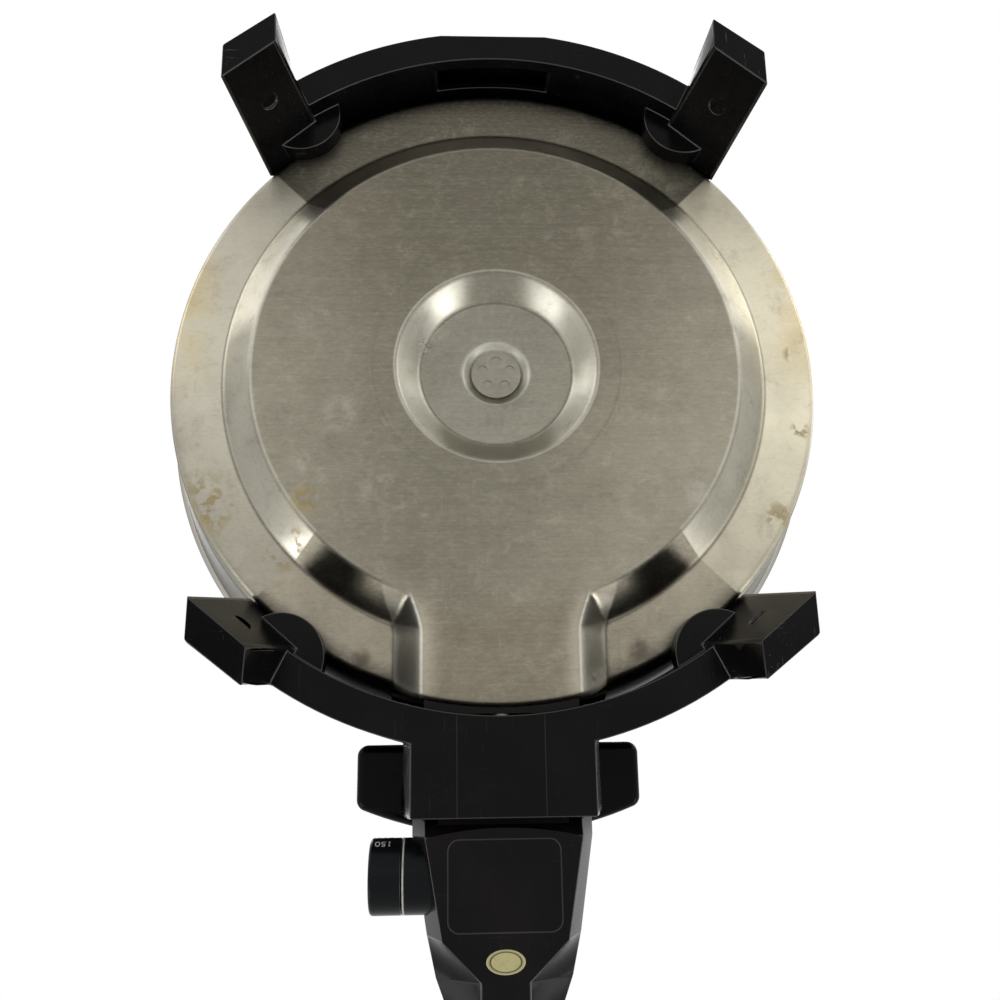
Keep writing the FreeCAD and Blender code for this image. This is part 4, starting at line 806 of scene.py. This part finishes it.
PAN_SHEET = 1.6 * MM
BEAD = 2.1 * MM
PAN_UNDER_Z = float(pan_low[2])
WALL_FOOT = SHELL_RADIUS + 0.7 * MM
WALL_TOP = RIM_RADIUS - BEAD
WALL_TOP_Z = RIM_Z - BEAD
slope = math.atan2(WALL_TOP - WALL_FOOT, WALL_TOP_Z - PAN_UNDER_Z)
across_sheet = PAN_SHEET / math.cos(slope)
floor_z = PAN_UNDER_Z + PAN_SHEET
inner_foot = WALL_FOOT + (floor_z - PAN_UNDER_Z) * math.tan(slope) - across_sheet
outer_wall = rounded_profile([(0.0, PAN_UNDER_Z, 0), (WALL_FOOT, PAN_UNDER_Z, 9 * MM),
                              (WALL_TOP - 0.2 * MM, WALL_TOP_Z - 1.0 * MM, 0)])
bead_turn = np.linspace(-2.3, 3.0, 22)
bead = np.stack([WALL_TOP + BEAD * np.cos(bead_turn), WALL_TOP_Z + BEAD * np.sin(bead_turn)], axis=1)
inner_wall = rounded_profile([(WALL_TOP - across_sheet, WALL_TOP_Z - 1.0 * MM, 0),
                              (inner_foot, floor_z, 7.4 * MM), (0.0, floor_z, 0)])
pan = add_spun("spun_pan", np.concatenate([outer_wall, bead, inner_wall]), PAN_STEEL, "skillet",
               ["cooking_pan"])
mark_outside(pan.data)

# %% Lid
LID_SHEET = 0.9 * MM
DOME_RADIUS = 150.0 * MM
DOME_RISE = 30.0 * MM
FLANGE_Z = RIM_Z + 0.3 * MM
sphere = (DOME_RADIUS ** 2 + DOME_RISE ** 2) / (2 * DOME_RISE)
dome_r = np.linspace(0.0, DOME_RADIUS, 60)
dome = np.stack([dome_r, LID_TOP_Z - sphere + np.sqrt(sphere ** 2 - dome_r ** 2)], axis=1)
foot = DOME_RADIUS + 5.5 * MM
skirt = WALL_TOP - 3.2 * MM
brim = RIM_RADIUS - 0.05 * MM
edge_part = rounded_profile([
    (dome[-1, 0], dome[-1, 1], 0), (foot, FLANGE_Z + LID_SHEET, 1.5 * MM),
    (brim, FLANGE_Z + LID_SHEET, 0.4 * MM), (brim, FLANGE_Z, 0.4 * MM),
    (skirt, FLANGE_Z, 0.5 * MM), (skirt, LID_Z, 0.3 * MM), (skirt - LID_SHEET, LID_Z, 0.3 * MM),
    (skirt - LID_SHEET, FLANGE_Z, 0.3 * MM), (foot - LID_SHEET, FLANGE_Z, 0.6 * MM),
    (DOME_RADIUS - LID_SHEET, dome[-1, 1] - LID_SHEET * 0.8, 0)])
inside_r = dome_r[::-1] * (DOME_RADIUS - LID_SHEET) / DOME_RADIUS
inside = np.stack([inside_r, LID_TOP_Z - sphere + np.sqrt((sphere - LID_SHEET) ** 2 - inside_r ** 2)],
                  axis=1)
add_spun("spun_lid", np.concatenate([dome, edge_part[1:], inside]), LID_STEEL, "lid",
         ["lid_shell"])

# %% [markdown]
# ## Moulded pieces
#
# A moulding never has a knife edge, and the thin bright line along each edge is what makes black
# plastic readable. The frame's solids have the right shape but sharp edges. A copy of each one has
# its doubles merged and its flat triangles joined. Each edge that turns by more than a given angle
# then gets a weight, and the bevel's width follows the weights: small in general, wider down the
# legs. The bevel takes the rubbed finish, and weighted normals keep the flats flat.

# %% Softened copies of the frame's solids
LEG_TOP_Z = 60.0 * MM
LONG_EDGE = 8.0 * MM


def weigh_edges(work, sharp, share, legs):
    """Bevel weight on the sharp edges: 1 on the legs' long edges, a smaller share elsewhere."""
    weight = work.edges.layers.float.new("bevel_weight_edge")
    for edge in work.edges:
        if len(edge.link_faces) == 2 and edge.calc_face_angle() > sharp:
            low, high = sorted(vertex.co.z for vertex in edge.verts)
            long_leg_edge = legs and low < LEG_TOP_Z and high - low > LONG_EDGE
            edge[weight] = 1.0 if long_leg_edge else share


def add_softened(node, name, finish, body, width, segments=2, sharp=30.0, legs=0.0):
    """A copy of a node's solid with rounded edges, in metres; legs is the width down the legs."""
    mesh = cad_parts[node].data.copy()
    mesh.name = name
    obj = bpy.data.objects.new(name, mesh)
    bpy.context.collection.objects.link(obj)
    work = bmesh.new()
    work.from_mesh(mesh)
    bmesh.ops.remove_doubles(work, verts=work.verts, dist=2e-6)
    bmesh.ops.dissolve_limit(work, angle_limit=math.radians(0.6), use_dissolve_boundaries=False,
                             verts=work.verts, edges=work.edges, delimit={"NORMAL"})
    weigh_edges(work, math.radians(sharp), width / max(width, legs), legs > 0)
    work.to_mesh(mesh)
    work.free()
    mesh.materials.clear()
    mesh.materials.append(finish.material)
    mesh.materials.append(RUBBED_EDGE.material)
    mesh.polygons.foreach_set("use_smooth", np.full(len(mesh.polygons), True))
    bevel = obj.modifiers.new("soft_edges", "BEVEL")
    bevel.width = max(width, legs)
    bevel.segments = segments
    bevel.limit_method = "WEIGHT"
    bevel.use_clamp_overlap = False
    bevel.material = 1
    weighted = obj.modifiers.new("flat_flats", "WEIGHTED_NORMAL")
    weighted.keep_sharp = True
    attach(obj, body)
    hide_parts(node)
    print(name, "faces", len(mesh.polygons))


for end in ("front", "rear"):
    add_softened(end + "_bracket", "moulded_%s_bracket" % end, BLACK_BRACKET, "skillet", 0.45 * MM,
                 segments=3, legs=1.6 * MM)
    add_softened(end + "_handle", "moulded_%s_handle" % end, BLACK_HANDLE, "skillet", 0.5 * MM)
for half in ("lower", "upper"):
    add_softened("control_%s_housing" % half, "moulded_%s_housing" % half, BLACK_CONTROL, "control",
                 0.35 * MM, sharp=16.0)
add_softened("dial_knob", "moulded_dial", BLACK_DIAL, "dial", 0.3 * MM)
add_softened("dial_bezel", "moulded_bezel", BLACK_DIAL, "control", 0.3 * MM)
add_softened("lid_knob", "moulded_lid_knob", BLACK_HANDLE, "lid", 0.3 * MM)

# %% [markdown]
# ## Details of the control
#
# The flat face of the control has a thin raised border round a bare field. It is a small round
# profile carried along a rounded rectangle, sunk halfway into the face. The face starts in a shallow
# curve behind the shroud's edge, so a wedge fills the slope there up to that curve: its front edge
# is a parabola across the width.


# %% Label border
def rounded_rectangle(half_x, half_y, corner, steps=9):
    """Closed path: quarter circles about four centres; returns points and outward directions."""
    turn = (np.arange(4)[:, None] * np.pi / 2 + np.linspace(0, np.pi / 2, steps)[None, :]).ravel()
    away = np.stack([np.cos(turn), np.sin(turn)], axis=1)
    signs = np.repeat(np.array([(1, 1), (-1, 1), (-1, -1), (1, -1)]), steps, axis=0)
    return signs * np.array([half_x - corner, half_y - corner]) + away * corner, away


housing_low, housing_high = (np.array(corner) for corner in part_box("control_lower_housing"))
FACE_Z = float(housing_low[2])
CONTROL_Y = float(housing_high[1])
LABEL_CENTRE_Y = CONTROL_Y - 25.2 * MM
LABEL_HALF_X, LABEL_HALF_Y, LABEL_CORNER = 22.6 * MM, 17.4 * MM, 4.5 * MM
LINE_HALF_WIDTH, LINE_HEIGHT = 0.32 * MM, 0.14 * MM
path, away = rounded_rectangle(LABEL_HALF_X, LABEL_HALF_Y, LABEL_CORNER)
around = np.linspace(0, 2 * np.pi, 9)[:-1]
across_bead = LINE_HALF_WIDTH * np.cos(around)
down_bead = LINE_HEIGHT * np.sin(around)
border = np.empty((len(around), len(path), 3))
border[..., :2] = path[None] + away[None] * across_bead[:, None, None]
border[..., 1] += LABEL_CENTRE_Y
border[..., 2] = (FACE_Z - down_bead)[:, None]
border = np.concatenate([border, border[:1]])
add_piece("label_border", border, grid_quads(*border.shape[:2]), RAISED_LINE, "control")

# %% Curved start of the face
FACE_START = CONTROL_Y - 7.0 * MM
RAMP = 5.0 / 7.0
BROW_DEPTH = 3.5 * MM
BROW_HALF = 31.0 * MM
BROW_STEPS = 41
brow_x = np.linspace(-1.0, 1.0, BROW_STEPS)
front = FACE_START + BROW_DEPTH * (1 - brow_x ** 2)
back = np.full(BROW_STEPS, FACE_START - 0.6 * MM)
low = np.full(BROW_STEPS, FACE_Z - 0.03 * MM)
high = np.full(BROW_STEPS, FACE_Z + 0.3 * MM)
corners = [(front, low), (front, high + (front - FACE_START) * RAMP), (back, high), (back, low)]
section = np.stack([np.stack(corner, axis=1) for corner in corners], axis=1)
brow = np.empty((BROW_STEPS + 2, 4, 3))
brow[1:-1, :, 0] = (brow_x * BROW_HALF)[:, None]
brow[1:-1, :, 1:] = section
brow[0] = brow[1].mean(axis=0)
brow[-1] = brow[-2].mean(axis=0)
add_piece("face_brow", brow, grid_quads(*brow.shape[:2]), BLACK_CONTROL, "control",
          smooth=False)

# %% [markdown]
# ## Numbers on the dial
#
# The dial has plain temperature numbers, printed in white round its side. A text curve makes each
# one, and its flat mesh is then wrapped on the dial: the number's own x runs along the dial's axis
# and its y becomes an angle about it.

# %% Wrapped numbers
dial_low, dial_high = (np.array(corner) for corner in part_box("dial_knob"))
DIAL_RADIUS = float(dial_high[2] - dial_low[2]) / 2
dial_middle = (dial_low + dial_high) / 2
NUMBER_SIZE = 4.8 * MM
NUMBER_PROUD = 0.06 * MM
FIRST_TURN, TURN_STEP = 62, 40


def add_number(text, turn_degrees):
    """One number, wrapped at an angle from straight down towards +Y."""
    curve = bpy.data.curves.new("number_" + text, "FONT")
    curve.body = text
    curve.size = NUMBER_SIZE
    curve.align_x = "CENTER"
    curve.align_y = "CENTER"
    curve.extrude = NUMBER_PROUD
    flat = bpy.data.objects.new("number_" + text, curve)
    bpy.context.collection.objects.link(flat)
    bpy.context.view_layer.update()
    mesh = bpy.data.meshes.new_from_object(flat)
    bpy.data.objects.remove(flat)
    points = np.empty(len(mesh.vertices) * 3)
    mesh.vertices.foreach_get("co", points)
    points = points.reshape(-1, 3)
    turn = math.radians(turn_degrees) - points[:, 1] / DIAL_RADIUS
    radius = DIAL_RADIUS + NUMBER_PROUD * 0.4 + points[:, 2]
    wrapped = np.stack([float(dial_middle[0]) + 0.8 * MM + points[:, 0],
                        float(dial_middle[1]) + radius * np.sin(turn),
                        float(dial_middle[2]) - radius * np.cos(turn)], axis=1)
    mesh.vertices.foreach_set("co", wrapped.ravel())
    mesh.materials.clear()
    mesh.materials.append(DIAL_PRINT.material)
    number = bpy.data.objects.new("dial_number_" + text, mesh)
    bpy.context.collection.objects.link(number)
    clean_piece(number)
    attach(number, "dial")


for step, text in enumerate(["150", "200", "250", "300", "350", "400"]):
    add_number(text, FIRST_TURN + TURN_STEP * step)
print("numbers on a dial of radius %.4f" % DIAL_RADIUS)

# %% [markdown]
# ## Finishes of the nodes that stay
#
# The small and hidden pieces keep the frame's own shapes, because their solids already show all
# that can be seen of them. Each one gets the finish that such a part has, through its material slot;
# only the plates' near-black finish is painted shade.

# %% Finishes by node
NODES_BY_FINISH = [
    (ZINC_STEEL, ["element_clips", "probe_well", "handle_screws", "housing_screws", "steam_vent",
                  "thermostat_frame", "adjusting_spindle", "lid_knob_washer", "lid_knob_screw"]),
    (SHADED_PLATE, ["terminal_plate", "front_mounting_plate", "rear_mounting_plate"]),
    (NICKEL, ["terminal_pins", "socket_contacts", "probe_rod"]),
    (CERAMIC, ["pin_insulators", "contact_stack"]), (BRONZE, ["bimetal_blade", "contact_blade"]),
    (BASE_STEEL, ["fill_plug"]), (SHEATH_STEEL, ["heating_element"]),
    (RED_SILICONE, ["pin_seals"]), (BROWN_BLOCK, ["contact_block"]),
    (LINE_RING, ["indicator_ring"]), (BLACK_RUBBER, ["cord_inlet_bush"]),
    (AMBER_LENS, ["pilot_lens"]), (LAMP_GLASS, ["pilot_lamp"]), (STICKER_FOIL, ["oval_sticker"]),
]
for finish, nodes in NODES_BY_FINISH:
    for node in nodes:
        for material_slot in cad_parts[node].material_slots:
            material_slot.material = finish.material
print("finished nodes", sum(len(nodes) for finish, nodes in NODES_BY_FINISH))

# %% [markdown]
# ## Floor, world and lamps
#
# The skillet stands on a pale floor, but the camera is under it. So the floor shows only to camera
# rays that meet it from above, and is clear to everything else. Further out it turns white, so it
# has no edge, as on a photographer's paper sweep. The world is white to the camera and in
# reflections, and dimmer as ambient light. Soft lamps stand below for the main view and above for
# the others; the four low ones make the bright arcs on the pressed slopes, together with the
# highlights painted into the base's finish.

# %% Floor
floor_mesh = bpy.data.meshes.new("floor")
FAR = 9.0
corners = [(-FAR, -FAR, 0), (FAR, -FAR, 0), (FAR, FAR, 0), (-FAR, FAR, 0)]
floor_mesh.from_pydata(corners, [], [(0, 1, 2, 3)])
floor = bpy.data.objects.new("floor", floor_mesh)
bpy.context.collection.objects.link(floor)
floor_finish = Finish("pale_floor")
rays = floor_finish.node("ShaderNodeLightPath", out="Is Camera Ray")
back = floor_finish.node("ShaderNodeNewGeometry", out="Backfacing")
pale = floor_finish.node("ShaderNodeBsdfDiffuse", None, {"Color": (0.80, 0.80, 0.79, 1.0)})
white = floor_finish.node("ShaderNodeEmission", None, {"Color": (1.0, 1.0, 1.0, 1.0)})
away_x, away_y = floor_finish.axis("x"), floor_finish.axis("y")
away = (away_x * away_x + away_y * away_y) ** 0.5
sweep = floor_finish.node("ShaderNodeMixShader", None, {0: away.rise(0.35, 1.5), 1: pale, 2: white})
clear = floor_finish.node("ShaderNodeBsdfTransparent")
seen = floor_finish.node("ShaderNodeMixShader", None, {0: rays * (1.0 - back), 1: clear, 2: sweep})
floor_output = next(n for n in floor_finish.tree.nodes if n.type == "OUTPUT_MATERIAL")
floor_finish.tree.links.new(seen.socket, floor_output.inputs["Surface"])
floor_mesh.materials.append(floor_finish.material)

# %% World
world = bpy.data.worlds.new("studio")
bpy.context.scene.world = world
world.use_nodes = True
world_nodes = world.node_tree.nodes
world_links = world.node_tree.links
background = next(n for n in world_nodes if n.type == "BACKGROUND")
background.inputs["Color"].default_value = (1.0, 1.0, 1.0, 1.0)
path = world_nodes.new("ShaderNodeLightPath")
seen = path.outputs["Is Camera Ray"]
for ray in ("Is Glossy Ray", "Is Transmission Ray"):
    either = world_nodes.new("ShaderNodeMath")
    either.operation = "MAXIMUM"
    world_links.new(seen, either.inputs[0])
    world_links.new(path.outputs[ray], either.inputs[1])
    seen = either.outputs[0]
strength = world_nodes.new("ShaderNodeMapRange")
strength.inputs["To Min"].default_value = 0.45
strength.inputs["To Max"].default_value = 1.0
world_links.new(seen, strength.inputs["Value"])
world_links.new(strength.outputs[0], background.inputs["Strength"])


# %% Lamps
def add_lamp(name, place, target, size, power):
    """Rectangular lamp at a place from the axis, aimed at a target, in metres and watts."""
    data = bpy.data.lights.new(name, "AREA")
    data.shape = "RECTANGLE"
    data.size, data.size_y = size
    data.energy = power
    lamp = bpy.data.objects.new(name, data)
    bpy.context.collection.objects.link(lamp)
    lamp.location = Vector(place) + Vector((0, AXIS_Y, 0))
    aim = Vector(target) - Vector(place)
    lamp.rotation_euler = aim.to_track_quat("-Z", "Y").to_euler()


for name, turn, power in (("left_rear", 57, 1.25), ("right_rear", -60, 1.25),
                          ("left_front", 132, 2.0), ("right_front", -132, 1.9)):
    angle = math.radians(turn)
    add_lamp(name, (math.sin(angle), math.cos(angle), -0.16), (0, 0, 0.05), (0.50, 0.30), power)
add_lamp("below_left", (0.46, 0.32, -0.85), (0.1, 0, 0.05), (0.34, 0.70), 0.5)
add_lamp("below_right", (-0.50, 0.32, -0.85), (-0.1, 0, 0.05), (0.34, 0.70), 0.7)
add_lamp("above_key", (0.20, 0.55, 1.6), (0, 0, 0.08), (1.4, 1.4), 14.0)
add_lamp("above_fill", (-1.1, 0.6, 0.9), (0, 0, 0.08), (1.0, 1.0), 4.0)
